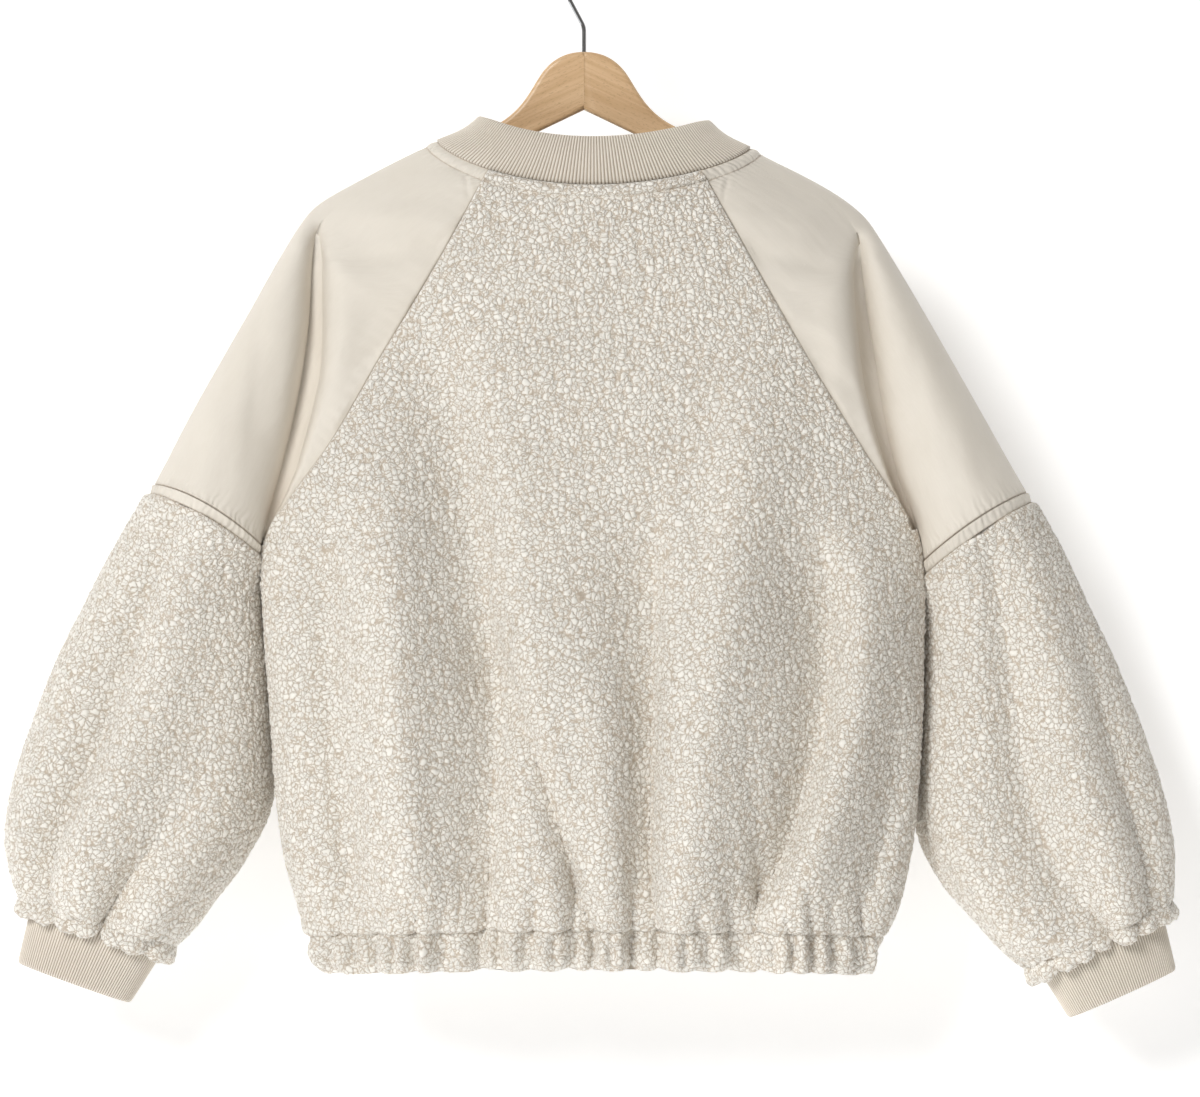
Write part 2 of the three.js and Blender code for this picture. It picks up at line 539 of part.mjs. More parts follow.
/** Moves the edge points of a grid off the seam by half the gap, along the cloth. */
function insetEdges({ rows, closed, normals }) {
  const last = rows.length - 1;
  return rows.map((row, j) =>
    row.map((p, i) => {
      const n = row.length;
      const moved = p.clone();
      const push = (towards, tangent) => {
        const across = cross(normals[j][i], tangent).normalize();
        const sign = Math.sign(across.dot(towards)) || 1;
        moved.addScaledVector(across, (sign * SEAM_GAP) / 2);
      };
      const along = row[Math.min(i + 1, n - 1)].clone().sub(row[Math.max(i - 1, 0)]);
      const up = rows[Math.min(j + 1, last)][i].clone().sub(rows[Math.max(j - 1, 0)][i]);
      if (j === 0) push(rows[1][i].clone().sub(p), along);
      if (j === last) push(rows[last - 1][i].clone().sub(p), along);
      if (!closed && i === 0) push(row[1].clone().sub(p), up);
      if (!closed && i === n - 1) push(row[n - 2].clone().sub(p), up);
      return moved;
    }),
  );
}

/** A closed wall from a grid: out and into(j, i) give its two faces' distances from the base surface.
 *  step is how many outer columns each inner column spans, for a ribbed face over a plain inside. */
function wall(panel) {
  const { out, into, closed = false, step = 1, normals } = panel;
  const rows = insetEdges(panel);
  const positions = [];
  const index = [];
  const put = (p) => positions.push(p.x, p.y, p.z) / 3 - 1;
  const outer = rows.map((row, j) => row.map((p, i) => put(p.clone().addScaledVector(normals[j][i], out(j, i)))));
  const inner = rows.map((row, j) =>
    row.map((p, i) => (i % step ? -1 : put(p.clone().addScaledVector(normals[j][i], -into(j, i))))),
  );
  const at = (k) => V(positions[3 * k], positions[3 * k + 1], positions[3 * k + 2]);
  const quad = (a, b, c, d) => {
    if (at(a).distanceTo(at(c)) < at(b).distanceTo(at(d))) index.push(a, b, c, a, c, d);
    else index.push(a, b, d, b, c, d);
  };
  const columns = rows[0].length;
  const spans = closed ? columns : columns - 1;
  const last = rows.length - 1;
  for (let j = 0; j < last; j += 1) {
    for (let i = 0; i < spans; i += 1) {
      const k = (i + 1) % columns;
      quad(outer[j][i], outer[j][k], outer[j + 1][k], outer[j + 1][i]);
    }
    for (let i = 0; i < spans; i += step) {
      const k = (i + step) % columns;
      quad(inner[j][k], inner[j][i], inner[j + 1][i], inner[j + 1][k]);
    }
  }
  const rim = (j, flip) => {
    for (let i = 0; i < spans; i += step) {
      const ends = [inner[j][i], inner[j][(i + step) % columns]];
      const fan = (tip, a, b) => index.push(...(flip ? [tip, b, a] : [tip, a, b]));
      for (let k = 0; k < step; k += 1) {
        fan(ends[k < step / 2 ? 0 : 1], outer[j][(i + k) % columns], outer[j][(i + k + 1) % columns]);
      }
      const middle = outer[j][(i + Math.ceil(step / 2)) % columns];
      fan(ends[0], middle, ends[1]);
    }
  };
  rim(0, true);
  rim(last, false);
  if (!closed) {
    for (let j = 0; j < last; j += 1) {
      quad(outer[j][0], outer[j + 1][0], inner[j + 1][0], inner[j][0]);
      const n = columns - 1;
      quad(outer[j + 1][n], outer[j][n], inner[j][n], inner[j + 1][n]);
    }
  }
  return facingOut(positions, index);
}

function facingOut(positions, index) {
  const at = (k) => V(positions[3 * k], positions[3 * k + 1], positions[3 * k + 2]);
  let volume = 0;
  for (let k = 0; k < index.length; k += 3) {
    volume += at(index[k]).dot(cross(at(index[k + 1]), at(index[k + 2])));
  }
  if (volume < 0) {
    for (let k = 0; k < index.length; k += 3) [index[k + 1], index[k + 2]] = [index[k + 2], index[k + 1]];
  }
  const geometry = new THREE.BufferGeometry();
  geometry.setAttribute("position", new THREE.Float32BufferAttribute(positions, 3));
  geometry.setIndex(index);
  return geometry;
}

/** The pile is full over a panel and pressed flat along its seams. */
const pile = (cloth, rows) => (j, i) => {
  const edge = j === 0 || j === rows.length - 1 || i === 0 || i === rows[0].length - 1;
  return edge ? cloth.seamOut : cloth.out;
};

const jacket = new THREE.Group();
const panels = [];
function addPanel(name, cloth, rows, extra = {}) {
  const shell = { closed: false, inside: V(0, 0, -300), out: pile(cloth, rows), into: () => cloth.in };
  const panel = { name, cloth, rows, ...shell, ...extra };
  panel.normals = gridNormals(panel);
  panels.push(panel);
  return panel;
}
/** Gives a whole edge row of a panel the seam's own normals. */
function setRowNormals(panel, j, normalAt) {
  panel.normals[j] = panel.rows[j].map(normalAt);
}

// Body
const hemNormal = (p) => V(p.x * 0.12, p.y, 0).normalize();
const neckNormal = (ring) => (p) => {
  const a = angleAt(ring, p);
  const low = neckPoint(Math.max(ring - 1, 0), a);
  const high = neckPoint(Math.min(ring + 1, 2), a);
  const along = neckPoint(ring, a + 0.01).sub(neckPoint(ring, a - 0.01));
  return cross(along, high.sub(low)).normalize();
};
const back = addPanel("back_panel", SHERPA, backRows(), { step: 2 });
const fronts = SIDES.map((side) => addPanel(`front_panel_${side}`, SHERPA, frontRows(side), { step: 2 }));
const shells = SIDES.map((side) =>
  addPanel(`sleeve_yoke_${side}`, SHELL, ROWS_UP_RAGLAN.map((t) => shellRow(side, t)), {
    inside: V(SIGN[side] * 220, 0, -220),
  }),
);
weldNormals([back, ...fronts, ...shells]);
for (const panel of [back, ...fronts]) {
  setRowNormals(panel, 0, hemNormal);
}
for (const panel of [back, ...fronts, ...shells]) {
  setRowNormals(panel, panel.rows.length - 1, neckNormal(0));
}
shells.forEach((panel, k) => setRowNormals(panel, 0, (p) => ringNormal(SIDES[k], 0, p)));

// Lower sleeves, welts and cuffs
for (const side of SIDES) {
  const inside = V(SIGN[side] * 360, 20, -460);
  const welt = addPanel(
    `sleeve_welt_${side}`,
    SHELL,
    WELT_RINGS.map((s) => ringRow(side, s, SLEEVE_COLUMNS)),
    { closed: true, inside: V(SIGN[side] * 308, 0, -302), out: (j) => (j === 1 ? 2.3 : 1.2), into: () => 1.2 },
  );
  WELT_RINGS.forEach((s, j) => setRowNormals(welt, j, (p) => ringNormal(side, s, p)));
  const rows = lowerSleeveRows(side);
  const balloon = addPanel(`sleeve_lower_${side}`, SHERPA, rows, {
    closed: true,
    inside,
    step: 2,
    out: (j) => (j === 0 || j === rows.length - 1 ? SHERPA.sleeveSeamOut : SHERPA.out),
  });
  setRowNormals(balloon, 0, (p) => ringNormal(side, 1, p));
  setRowNormals(balloon, rows.length - 1, (p) => ringNormal(side, 10, p));
  const cuffColumns = 2 * CUFF.ribs;
  const cuff = addPanel(
    `cuff_${side}`,
    RIB,
    [10, 12].map((s) => ringRow(side, s, cuffColumns)),
    { closed: true, inside: ringAt(side, 11).centre, step: 6, out: (j, i) => RIB.out - (i % 2) * 2 * RIB.ridge },
  );
  [10, 12].forEach((s, j) => setRowNormals(cuff, j, (p) => ringNormal(side, s, p)));
}

// Hem casing: one length to each body panel
function hemRows(face, x0, x1, count, gathers) {
  return HEM.roll.map((_, j) => {
    const down = (HEM.tall * j) / (HEM.roll.length - 1);
    const row = sectionRow(face, (x) => hemZ(x) - down, x0, x1, count);
    return row.map((p, i) => gather(face, p, i / count, gathers, -down * 0.6));
  });
}
function addHem(name, face, x0, x1, count, gathers) {
  const rows = hemRows(face, x0, x1, count, gathers);
  const byZip = (j, i) => face > 0 && Math.abs(rows[j][i].x) < ZIP.tape + 10;
  const panel = addPanel(name, SHERPA, rows, {
    inside: V(0, 0, HEM.sideZ),
    out: (j) => HEM.roll[j],
    into: (j, i) => (byZip(j, i) ? SHERPA.in : HEM.lining[j]),
  });
  rows.forEach((_, j) => setRowNormals(panel, j, hemNormal));
}
addHem("hem_casing_back", -1, -Infinity, Infinity, BACK_COLUMNS, GATHERS.back);
addHem("hem_casing_front_left", 1, -ZIP.edge, -Infinity, FRONT_COLUMNS, GATHERS.frontHalf);
addHem("hem_casing_front_right", 1, ZIP.edge, Infinity, FRONT_COLUMNS, GATHERS.frontHalf);

// Neck bands: a length of each neighbour's cloth between the panels and the collar
function addBand(name, cloth, angles, thick) {
  const rows = [0, 1].map((ring) => angles.map((a) => neckPoint(ring, a)));
  const between = rows[0].map((p, i) => p.clone().lerp(rows[1][i], 0.5));
  const panel = addPanel(name, cloth, [rows[0], between, rows[1]], {
    inside: V(0, 0, -60),
    out: (j) => (j === 1 ? thick : cloth.seamOut),
  });
  [0, 0, 1].forEach((ring, j) => setRowNormals(panel, j, neckNormal(ring)));
}
const everySecond = (_, i) => i % 2 === 0;
const topAngles = (row) => row.filter(everySecond).map((p) => angleAt(0, p));
addBand("neck_band_back", SHERPA, topAngles(back.rows.at(-1)), 5);
SIDES.forEach((side, k) => {
  const steps = SEAM_TO_VALLEY.length - 1 + TUBE_STEPS;
  addBand(`neck_band_${side}`, SHELL, shellNeckAngles(side, steps), 2);
  addBand(`neck_band_front_${side}`, SHERPA, topAngles(fronts[k].rows.at(-1)), 5);
});

// Collar: a folded rib band from one zip edge round the back to the other
{
  const columns = 2 * COLLAR.ribs;
  const angles = neckAngles(-zipAngle(1), zipAngle(1), columns);
  const top = angles.map((a) => neckPoint(2, a));
  top[0].x = -ZIP.edge;
  top[columns].x = ZIP.edge;
  const low = angles.map((a) => neckPoint(1, a).add(V(0, 0, 0.25)));
  const middle = low.map((p, i) => {
    const waist = COLLAR.waist * p.x ** 2;
    return p.clone().lerp(top[i], 0.55).add(V(-Math.sign(p.x) * 0.6 * waist, p.y * COLLAR.bulge, 1 - waist));
  });
  const panel = addPanel("collar", RIB, [low, middle, top], {
    inside: V(0, 0, -30),
    step: 8,
    out: (j, i) => (j === 2 ? 1.3 : RIB.out) - (i % 2) * (j === 2 ? 1 : 2) * RIB.ridge,
    into: (j) => (j === 2 ? 1.3 : RIB.in),
  });
  setRowNormals(panel, 0, neckNormal(1));
}

// ---------------------------------------------------------------- zip
/** The centre front line from the hem's bottom edge to the collar's top. */
function frontLine() {
  const zs = [HEM.sideZ + HEM.arch - HEM.tall, -628, -590, -540, -480, -420, -360, -300, -240, -180, -140];
  const body = zs.map((z) => V(0, bodyY(1, 0, z), z));
  return [...body, ...[0, 1, 2].map((ring) => neckPoint(ring, Math.PI).setX(0))];
}
{
  const line = frontLine();
  const xs = [-ZIP.tape, -ZIP.chain - 0.4, -ZIP.chain, ZIP.chain, ZIP.chain + 0.4, ZIP.tape];
  const up = (j) => line[Math.min(j + 1, line.length - 1)].clone().sub(line[Math.max(j - 1, 0)]);
  const ahead = line.map((_, j) => cross(up(j), V(-1, 0, 0)).normalize());
  const sign = ahead[3].y < 0 ? -1 : 1;
  const rows = line.map((p, j) => xs.map((x) => p.clone().setX(x).addScaledVector(ahead[j], -sign * ZIP.behind)));
  addPanel("zip", { ...SHELL, colour: 0xddd5c8 }, rows, {
    inside: V(0, 0, -400),
    out: (j, i) => (i === 2 || i === 3 ? ZIP.chainOut : ZIP.tapeHalf),
    into: () => ZIP.tapeHalf,
  });
}

for (const panel of panels) {
  const { colour, roughness } = panel.cloth;
  const material = new THREE.MeshStandardMaterial({ color: colour, roughness, metalness: 0 });
  const mesh = new THREE.Mesh(wall(panel), material);
  mesh.name = panel.name;
  jacket.add(mesh);
}

// ---------------------------------------------------------------- slider and pull tab
const METAL = new THREE.MeshStandardMaterial({ color: 0xb9b6b0, roughness: 0.3, metalness: 1 });
const SLIDER = { wide: 8, tall: 10, thick: 2.6, lug: 1.2, lugGap: 3.4, pin: 0.7, rise: 3.2, down: 11 };
const PULL = { wide: 6, thick: 1.2, long: 26, eye: 1.9, bore: 1.1 };
const solidOf = (geometry) => {
  const bare = geometry.index ? geometry.toNonIndexed() : geometry.clone();
  bare.deleteAttribute("normal");
  bare.deleteAttribute("uv");
  const merged = mergeVertices(bare, 1e-4);
  return new wasm.Manifold(
    new wasm.Mesh({
      numProp: 3,
      vertProperties: merged.attributes.position.array,
      triVerts: new Uint32Array(merged.index.array),
    }),
  );
};
const geometryOf = (solid) => {
  const mesh = solid.getMesh();
  const geometry = new THREE.BufferGeometry();
  geometry.setAttribute("position", new THREE.Float32BufferAttribute(mesh.vertProperties, 3));
  return geometry.setIndex(new THREE.BufferAttribute(mesh.triVerts, 1));
};
const box = (x, y, z, at) => new THREE.BoxGeometry(x, y, z).translate(at.x, at.y, at.z);
const pinAlongX = (radius, length, at, sides = 14) =>
  new THREE.CylinderGeometry(radius, radius, length, sides).rotateZ(Math.PI / 2).translate(at.x, at.y, at.z);

const zipHead = new THREE.Group();
{
  const low = neckPoint(1, Math.PI).setX(0);
  const high = neckPoint(2, Math.PI).setX(0);
  const up = high.clone().sub(low).normalize();
  const at = high.clone().addScaledVector(up, -SLIDER.down);
  const ahead = V(0, up.z, -up.y);
  zipHead.position.copy(at).addScaledVector(ahead, ZIP.chainOut - ZIP.behind + SEAM_GAP);
  zipHead.rotation.x = Math.atan2(-up.y, up.z);
}
const pinAt = V(0, SLIDER.thick + SLIDER.rise - 1, 0);
{
  const base = solidOf(box(SLIDER.wide, SLIDER.thick, SLIDER.tall, V(0, SLIDER.thick / 2, 0)));
  const lugX = (SLIDER.lugGap + SLIDER.lug) / 2;
  const lugs = [-lugX, lugX].map((x) =>
    solidOf(box(SLIDER.lug, SLIDER.rise + 0.5, 3.2, V(x, SLIDER.thick + SLIDER.rise / 2 - 0.25, 0))),
  );
  const pin = solidOf(pinAlongX(SLIDER.pin, SLIDER.lugGap + 0.4, pinAt));
  const slider = new THREE.Mesh(geometryOf([...lugs, pin].reduce((a, b) => a.add(b), base)), METAL);
  slider.name = "zip_slider";
  zipHead.add(slider);

  const eyeWide = SLIDER.lugGap - 0.8;
  const plate = solidOf(box(PULL.wide, PULL.thick, PULL.long - 6, V(0, 0, -(PULL.long + 6) / 2)));
  const neck = solidOf(box(eyeWide, PULL.thick, 6.5, V(0, 0, -1 - 6.5 / 2)));
  const eye = solidOf(pinAlongX(PULL.eye, eyeWide, V(0, 0, 0), 16));
  const bore = solidOf(pinAlongX(PULL.bore, eyeWide + 2, V(0, 0, 0), 16));
  const tab = new THREE.Mesh(geometryOf(plate.add(neck).add(eye).subtract(bore)), METAL);
  tab.name = "zip_pull";
  tab.position.copy(pinAt);
  zipHead.add(tab);
}
jacket.add(zipHead);

// ---------------------------------------------------------------- hanger
const loopTop = HOOK.loop - HOOK.wire / 2;
const leanStart = degToRad(180 + HOOK.leanDeg);
const arcStart = V(HOOK.loop * Math.cos(leanStart), 0, HOOK.loop * Math.sin(leanStart) - loopTop);
const stemTopZ = arcStart.z - (HOOK.stemX - arcStart.x) / Math.tan(degToRad(HOOK.leanDeg));
const woodTopZ = stemTopZ - HOOK.stemRise;

/** Centre line of the hook: a stem, a lean to the left and a round loop over the top. */
class HookLine extends THREE.Curve {
  constructor() {
    super();
    this.foot = V(HOOK.stemX, 0, woodTopZ - HOOK.sunk);
    this.bend = V(HOOK.stemX, 0, stemTopZ);
    this.sweep = leanStart - degToRad(HOOK.tipDeg);
    this.lengths = [this.foot.distanceTo(this.bend), this.bend.distanceTo(arcStart), HOOK.loop * this.sweep];
  }
  getPoint(u) {
    const [stem, lean, arc] = this.lengths;
    let run = u * (stem + lean + arc);
    const soften = 3.5;
    const straight = (d) => (d < stem
      ? this.foot.clone().lerp(this.bend, d / stem)
      : this.bend.clone().lerp(arcStart, (d - stem) / lean));
    if (run < stem + lean) {
      if (Math.abs(run - stem) > soften) return straight(run);
      const a = straight(stem - soften);
      const b = straight(stem + soften);
      const w = (run - stem + soften) / (2 * soften);
      return a.multiplyScalar((1 - w) ** 2).addScaledVector(this.bend, 2 * w * (1 - w)).addScaledVector(b, w * w);
    }
    run -= stem + lean;
    const angle = leanStart - run / HOOK.loop;
    return V(HOOK.loop * Math.cos(angle), 0, HOOK.loop * Math.sin(angle) - loopTop);
  }
}
const wireSection = new THREE.Shape().absarc(0, 0, HOOK.wire / 2, 0, 2 * Math.PI);
const hook = new THREE.Mesh(
  new THREE.ExtrudeGeometry(wireSection, { steps: 38, curveSegments: 4, extrudePath: new HookLine() }),
  new THREE.MeshStandardMaterial({ color: 0xc9cacd, roughness: 0.18, metalness: 1 }),
);
hook.name = "hanger_hook";

/** The hanger's outline: a high rounded middle, straight arms with round tips, and a pitched notch. */
function woodOutline() {
  const top = [
    [[16, 0], [27, -7], [35, -19]],
    [[43, -31], [50, -49], [73.6, -60]],
  ];
  const tipX = WOOD.halfSpan;
  const armTop = (x) => -60 - (x - 73.6) * WOOD.armSlope + WOOD.armRise * ((x - 73.6) / 120) ** 2;
  const armLow = (x) => -WOOD.notchDrop - x * WOOD.notchSlope;
  const shape = new THREE.Shape().moveTo(0, 0);
  top.forEach((c) => shape.bezierCurveTo(...c[0], ...c[1], ...c[2]));
  [110, 145, 175].forEach((x) => shape.lineTo(x, armTop(x)));
  shape.lineTo(tipX - 14, armTop(tipX - 14));
  shape.bezierCurveTo(tipX - 4, armTop(tipX - 4), tipX + 4, armTop(tipX) - 14, tipX - 8, armLow(tipX - 8));
  shape.lineTo(0, -WOOD.notchDrop);
  const side = shape.getPoints(6);
  const mirrored = side.slice(1, -1).reverse().map((p) => new THREE.Vector2(-p.x, p.y));
  return new THREE.Shape([...side, ...mirrored]);
}
const bevel = {
  depth: WOOD.thick - 2 * WOOD.round,
  curveSegments: 6,
  bevelEnabled: true,
  bevelThickness: WOOD.round,
  bevelSize: WOOD.round,
  bevelOffset: -WOOD.round,
  bevelSegments: 2,
};
const woodBlank = new THREE.ExtrudeGeometry(woodOutline(), bevel)
  .translate(0, 0, -(WOOD.thick / 2 - WOOD.round))
  .rotateX(Math.PI / 2);
const drilled = new THREE.CylinderGeometry(HOOK.wire / 2 + 0.3, HOOK.wire / 2 + 0.3, 60, 12)
  .rotateX(Math.PI / 2)
  .translate(0, 0, 30 - HOOK.sunk - SEAM_GAP);
const hanger = new THREE.Group();
const beech = new THREE.MeshStandardMaterial({ color: 0xd9b48a, roughness: 0.5, metalness: 0 });
for (const side of SIDES) {
  const keep = box(400, 100, 400, V(SIGN[side] * (200 + SEAM_GAP / 2), 0, 0));
  const half = solidOf(woodBlank).intersect(solidOf(keep)).subtract(solidOf(drilled));
  const arm = new THREE.Mesh(geometryOf(half), beech);
  arm.name = `hanger_arm_${side}`;
  hanger.add(arm);
}
hanger.position.set(HOOK.stemX, 0, woodTopZ);
jacket.position.set(HOOK.stemX + JACKET_X, 0, woodTopZ - NECK_BELOW_WOOD);

const part = new THREE.Group();
part.add(jacket, hanger, hook);
export default part;
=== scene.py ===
# %% [markdown]
# # A sherpa bomber jacket on a wooden hanger
# The jacket hangs by a hanger from one hook, with its back towards us. Its body and lower sleeves are
# curly sherpa, its raglan shoulders smooth woven cloth, and its collar and cuffs rib knit.
# The solid parts come in as a fixed frame. Each cloth piece is then made again as a thin shell on the
# form of its solid, fine enough to carry folds, gathers, ribs and curls.

import json
import math

import bmesh
import bpy
import numpy as np
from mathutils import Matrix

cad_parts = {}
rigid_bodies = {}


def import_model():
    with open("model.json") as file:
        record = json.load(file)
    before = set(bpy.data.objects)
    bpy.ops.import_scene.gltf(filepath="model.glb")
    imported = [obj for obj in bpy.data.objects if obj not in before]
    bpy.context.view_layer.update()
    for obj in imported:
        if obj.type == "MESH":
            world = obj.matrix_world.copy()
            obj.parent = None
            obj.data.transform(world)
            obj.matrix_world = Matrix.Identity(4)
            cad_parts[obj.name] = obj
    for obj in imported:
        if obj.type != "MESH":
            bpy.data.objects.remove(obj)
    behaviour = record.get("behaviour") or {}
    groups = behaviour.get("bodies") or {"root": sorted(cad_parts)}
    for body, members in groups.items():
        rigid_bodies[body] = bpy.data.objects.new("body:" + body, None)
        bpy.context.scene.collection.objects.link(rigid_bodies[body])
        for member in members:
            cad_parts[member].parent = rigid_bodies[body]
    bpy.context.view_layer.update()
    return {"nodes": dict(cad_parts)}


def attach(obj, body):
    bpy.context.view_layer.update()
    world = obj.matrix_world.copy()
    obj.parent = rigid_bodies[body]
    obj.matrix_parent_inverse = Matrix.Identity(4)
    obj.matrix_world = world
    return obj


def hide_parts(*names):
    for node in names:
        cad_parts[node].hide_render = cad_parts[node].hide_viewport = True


for leftover in list(bpy.data.objects):
    bpy.data.objects.remove(leftover)
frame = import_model()
nodes = frame["nodes"]
BODY = "jacket_on_hanger"

# %% [markdown]
# ## The jacket's own frame
# A pattern cutter measures from the neck. So do these tables: millimetres, x across from the centre back,
# z up from the neck points, y from the back (negative) to the front (positive). One function turns them
# into the metres of the shared frame, where the origin is the inside of the hook's loop.

# %% Units and the jacket's place
MM = 0.001
JACKET_AT = np.array([3.7, 0.0, -139.998])  # the jacket's neck point in the frame, mm
SIGN = {"left": -1, "right": 1}
SIDES = ("left", "right")


def in_frame(points):
    """Millimetres from the jacket's neck to metres in the frame."""
    return (np.asarray(points, float) + JACKET_AT) * MM


def table(columns, *rows):
    """A short table with named columns, each a numpy array."""
    names = columns.split()
    return {name: np.array([row[k] for row in rows], float) for k, name in enumerate(names)}


# %% [markdown]
# ## The camera
# A long lens from far away, square to the back, keeps the outline as flat as a pattern drawing.

# %% Camera
VIEW_WIDTH, VIEW_DISTANCE, VIEW_CENTRE = 0.960, 8.0, (0.0093, 0.0, -0.4588)
camera_data = bpy.data.cameras.new("long lens")
camera_data.sensor_width = 36
camera_data.lens = 36 * VIEW_DISTANCE / VIEW_WIDTH
camera_data.dof.use_dof = False
camera_data.clip_end = 40
camera = bpy.data.objects.new("camera", camera_data)
camera.location = (VIEW_CENTRE[0], -VIEW_DISTANCE, VIEW_CENTRE[2])
camera.rotation_euler = (math.pi / 2, 0, 0)
bpy.context.scene.collection.objects.link(camera)
bpy.context.scene.camera = camera
print(f"camera: {camera_data.lens:.0f} mm lens, {VIEW_DISTANCE} m behind the jacket")

# %% [markdown]
# ## Curves through short tables
# Every form below is a smooth curve through a few measured rows, so one helper reads a table's column at
# any place, and another spaces points evenly along a line, as a tailor's tape would.


# %% Curve helpers
def follow(rows, key, column, at):
    """A smooth curve through a table's column, read by its key column."""
    k, v = rows[key], rows[column]
    x = np.clip(at, k[0], k[-1])
    i = np.clip(np.searchsorted(k, x) - 1, 0, len(k) - 2)
    slope = np.empty_like(v)
    slope[1:-1] = (v[2:] - v[:-2]) / (k[2:] - k[:-2])
    slope[0] = (v[1] - v[0]) / (k[1] - k[0])
    slope[-1] = (v[-1] - v[-2]) / (k[-1] - k[-2])
    span = k[i + 1] - k[i]
    u = (x - k[i]) / span
    ends = v[i] * (1 + 2 * u) * (1 - u) ** 2 + v[i + 1] * u * u * (3 - 2 * u)
    return ends + span * (slope[i] * u * (1 - u) ** 2 - slope[i + 1] * u * u * (1 - u))


def smoothstep(x, low, high):
    u = np.clip((np.asarray(x, float) - low) / (high - low), 0, 1)
    return u * u * (3 - 2 * u)


def lerp(a, b, u):
    return a + (b - a) * u


def run_along(points, axis=0):
    """Length along a chain of points, or along each line of a grid, from its start."""
    steps = np.linalg.norm(np.diff(points, axis=axis), axis=-1)
    start = np.zeros_like(np.take(steps, [0], axis=axis))
    return np.concatenate([start, np.cumsum(steps, axis=axis)], axis=axis)


def evenly(points, count):
    """count + 1 points evenly spaced along a polyline."""
    run = run_along(points)
    at = np.linspace(0, run[-1], count + 1)
    return np.stack([np.interp(at, run, points[:, k]) for k in range(3)], axis=1)


def unit(v):
    return v / np.maximum(np.linalg.norm(v, axis=-1, keepdims=True), 1e-9)


# %% [markdown]
# ## The body's form
# Across the body each section is a soft oval, flatter than an ellipse. Down the body its half-widths and
# depths follow the table. Long folds fall from the shoulders, where the hanger holds the cloth, to the
# gathered hem, and they are ridges and valleys laid over the oval.

# %% Body tables
SECTIONS = table(
    "z left right back front",
    (-664, 211, 222, 58, 60), (-646, 219, 225, 62, 64), (-628, 226, 230, 64, 66),
    (-606, 231, 240, 74, 76), (-568, 242, 249, 82, 84), (-520, 249, 255, 84, 88),
    (-456, 253.5, 259, 82, 87), (-392, 258.5, 260.5, 77, 84), (-326, 261.5, 261.5, 70, 78),
    (-250, 257, 257, 65, 72), (-150, 243, 243, 61, 66), (-54, 222, 222, 59, 64), (20, 200, 200, 58, 62),
)
OVAL_POWER = 2.6
SIDE_CALM = 1.6  # folds die away where the oval turns into the side seam, by this slope
FOLDS = "x0 z0 x1 z1 bow rise wide0 wide1"
BACK_FOLDS = table(
    FOLDS,
    (-212, -265, -184, -608, -6, -19, 26, 15), (-166, -240, -140, -606, -4, 15, 22, 20),
    (-142, -101, -89, -620, 27, -28, 34, 20), (-66, -430, -26, -602, 0, 11, 14, 14),
    (-92, -345, -4, -616, 0, -23, 26, 10), (8, -400, 18, -606, 0, 11, 18, 16),
    (48, -250, 47, -622, 0, -27, 34, 10), (141, -120, 70, -608, 0, 18, 24, 30),
    (166, -280, 122, -618, 41, -28, 32, 13), (220, -290, 160, -606, 15, 16, 18, 24),
    (246, -430, 208, -618, 8, -14, 16, 12),
)
FRONT_FOLDS = table(
    FOLDS,
    (-204, -320, -186, -602, -5, -15, 26, 18), (-150, -260, -132, -606, 0, 12, 26, 24),
    (-116, -150, -80, -614, 14, -20, 30, 18), (-58, -400, -48, -606, 0, 11, 20, 16),
    (62, -380, 50, -606, 0, 11, 18, 22), (120, -160, 84, -614, -12, -20, 20, 30),
    (156, -280, 134, -606, 8, 14, 24, 26), (206, -330, 182, -606, 10, -16, 22, 26),
)
FOLD_GROWS = (-0.03, 0.32)  # the share of a fold's length over which it comes to its full height
FOLD_WIDENS = (1.35, 0.8)  # its width at the top and at the hem, as a share of the table's
FOLD_AT_HEM, FOLD_CALM = 0.45, 60  # the hem's elastic flattens it to this share, from this far above, mm
HEM_Z, HEM_ARCH, HEM_HALF = -628, 6, 228
BESIDE_ZIP = (10, 34)  # the fronts lie flat by the zip and take up their folds over this span, mm


# %% Body surface
def fold_relief(folds, x, z):
    """How far the long folds lift the cloth at x, z; bow bends a fold sideways at its middle."""
    total = np.zeros(np.broadcast(x, z).shape)
    for x0, z0, x1, z1, bow, rise, wide0, wide1 in zip(*folds.values()):
        along = (z0 - z) / (z0 - z1)
        run = np.clip(along, 0, 1)
        off = x - lerp(x0, x1, run) - 4 * bow * run * (1 - run)
        wide = np.where(off < 0, wide0, wide1) * lerp(*FOLD_WIDENS, run)
        total = total + rise * smoothstep(along, *FOLD_GROWS) * np.exp(-((off / wide) ** 2))
    return total * lerp(FOLD_AT_HEM, 1, smoothstep(z, HEM_Z, HEM_Z + FOLD_CALM))


def hem_z(x):
    return HEM_Z + HEM_ARCH * (1 - np.minimum(1, (x / HEM_HALF) ** 2))


def half_width(x, z):
    return np.where(x < 0, follow(SECTIONS, "z", "left", z), follow(SECTIONS, "z", "right", z))


def body_y(face, x, z):
    """y of the cloth on the back (face -1) or the front (face 1)."""
    ratio = np.minimum(1, np.abs(x) / half_width(x, z))
    depth = follow(SECTIONS, "z", "back" if face < 0 else "front", z)
    round_ = np.sqrt(1 - ratio**OVAL_POWER)
    relief = fold_relief(BACK_FOLDS if face < 0 else FRONT_FOLDS, x, z)
    relief = relief * np.minimum(1, round_ * SIDE_CALM)
    by_zip = smoothstep(np.abs(x), *BESIDE_ZIP) if face > 0 else 1
    return face * (depth * round_ + relief * by_zip)


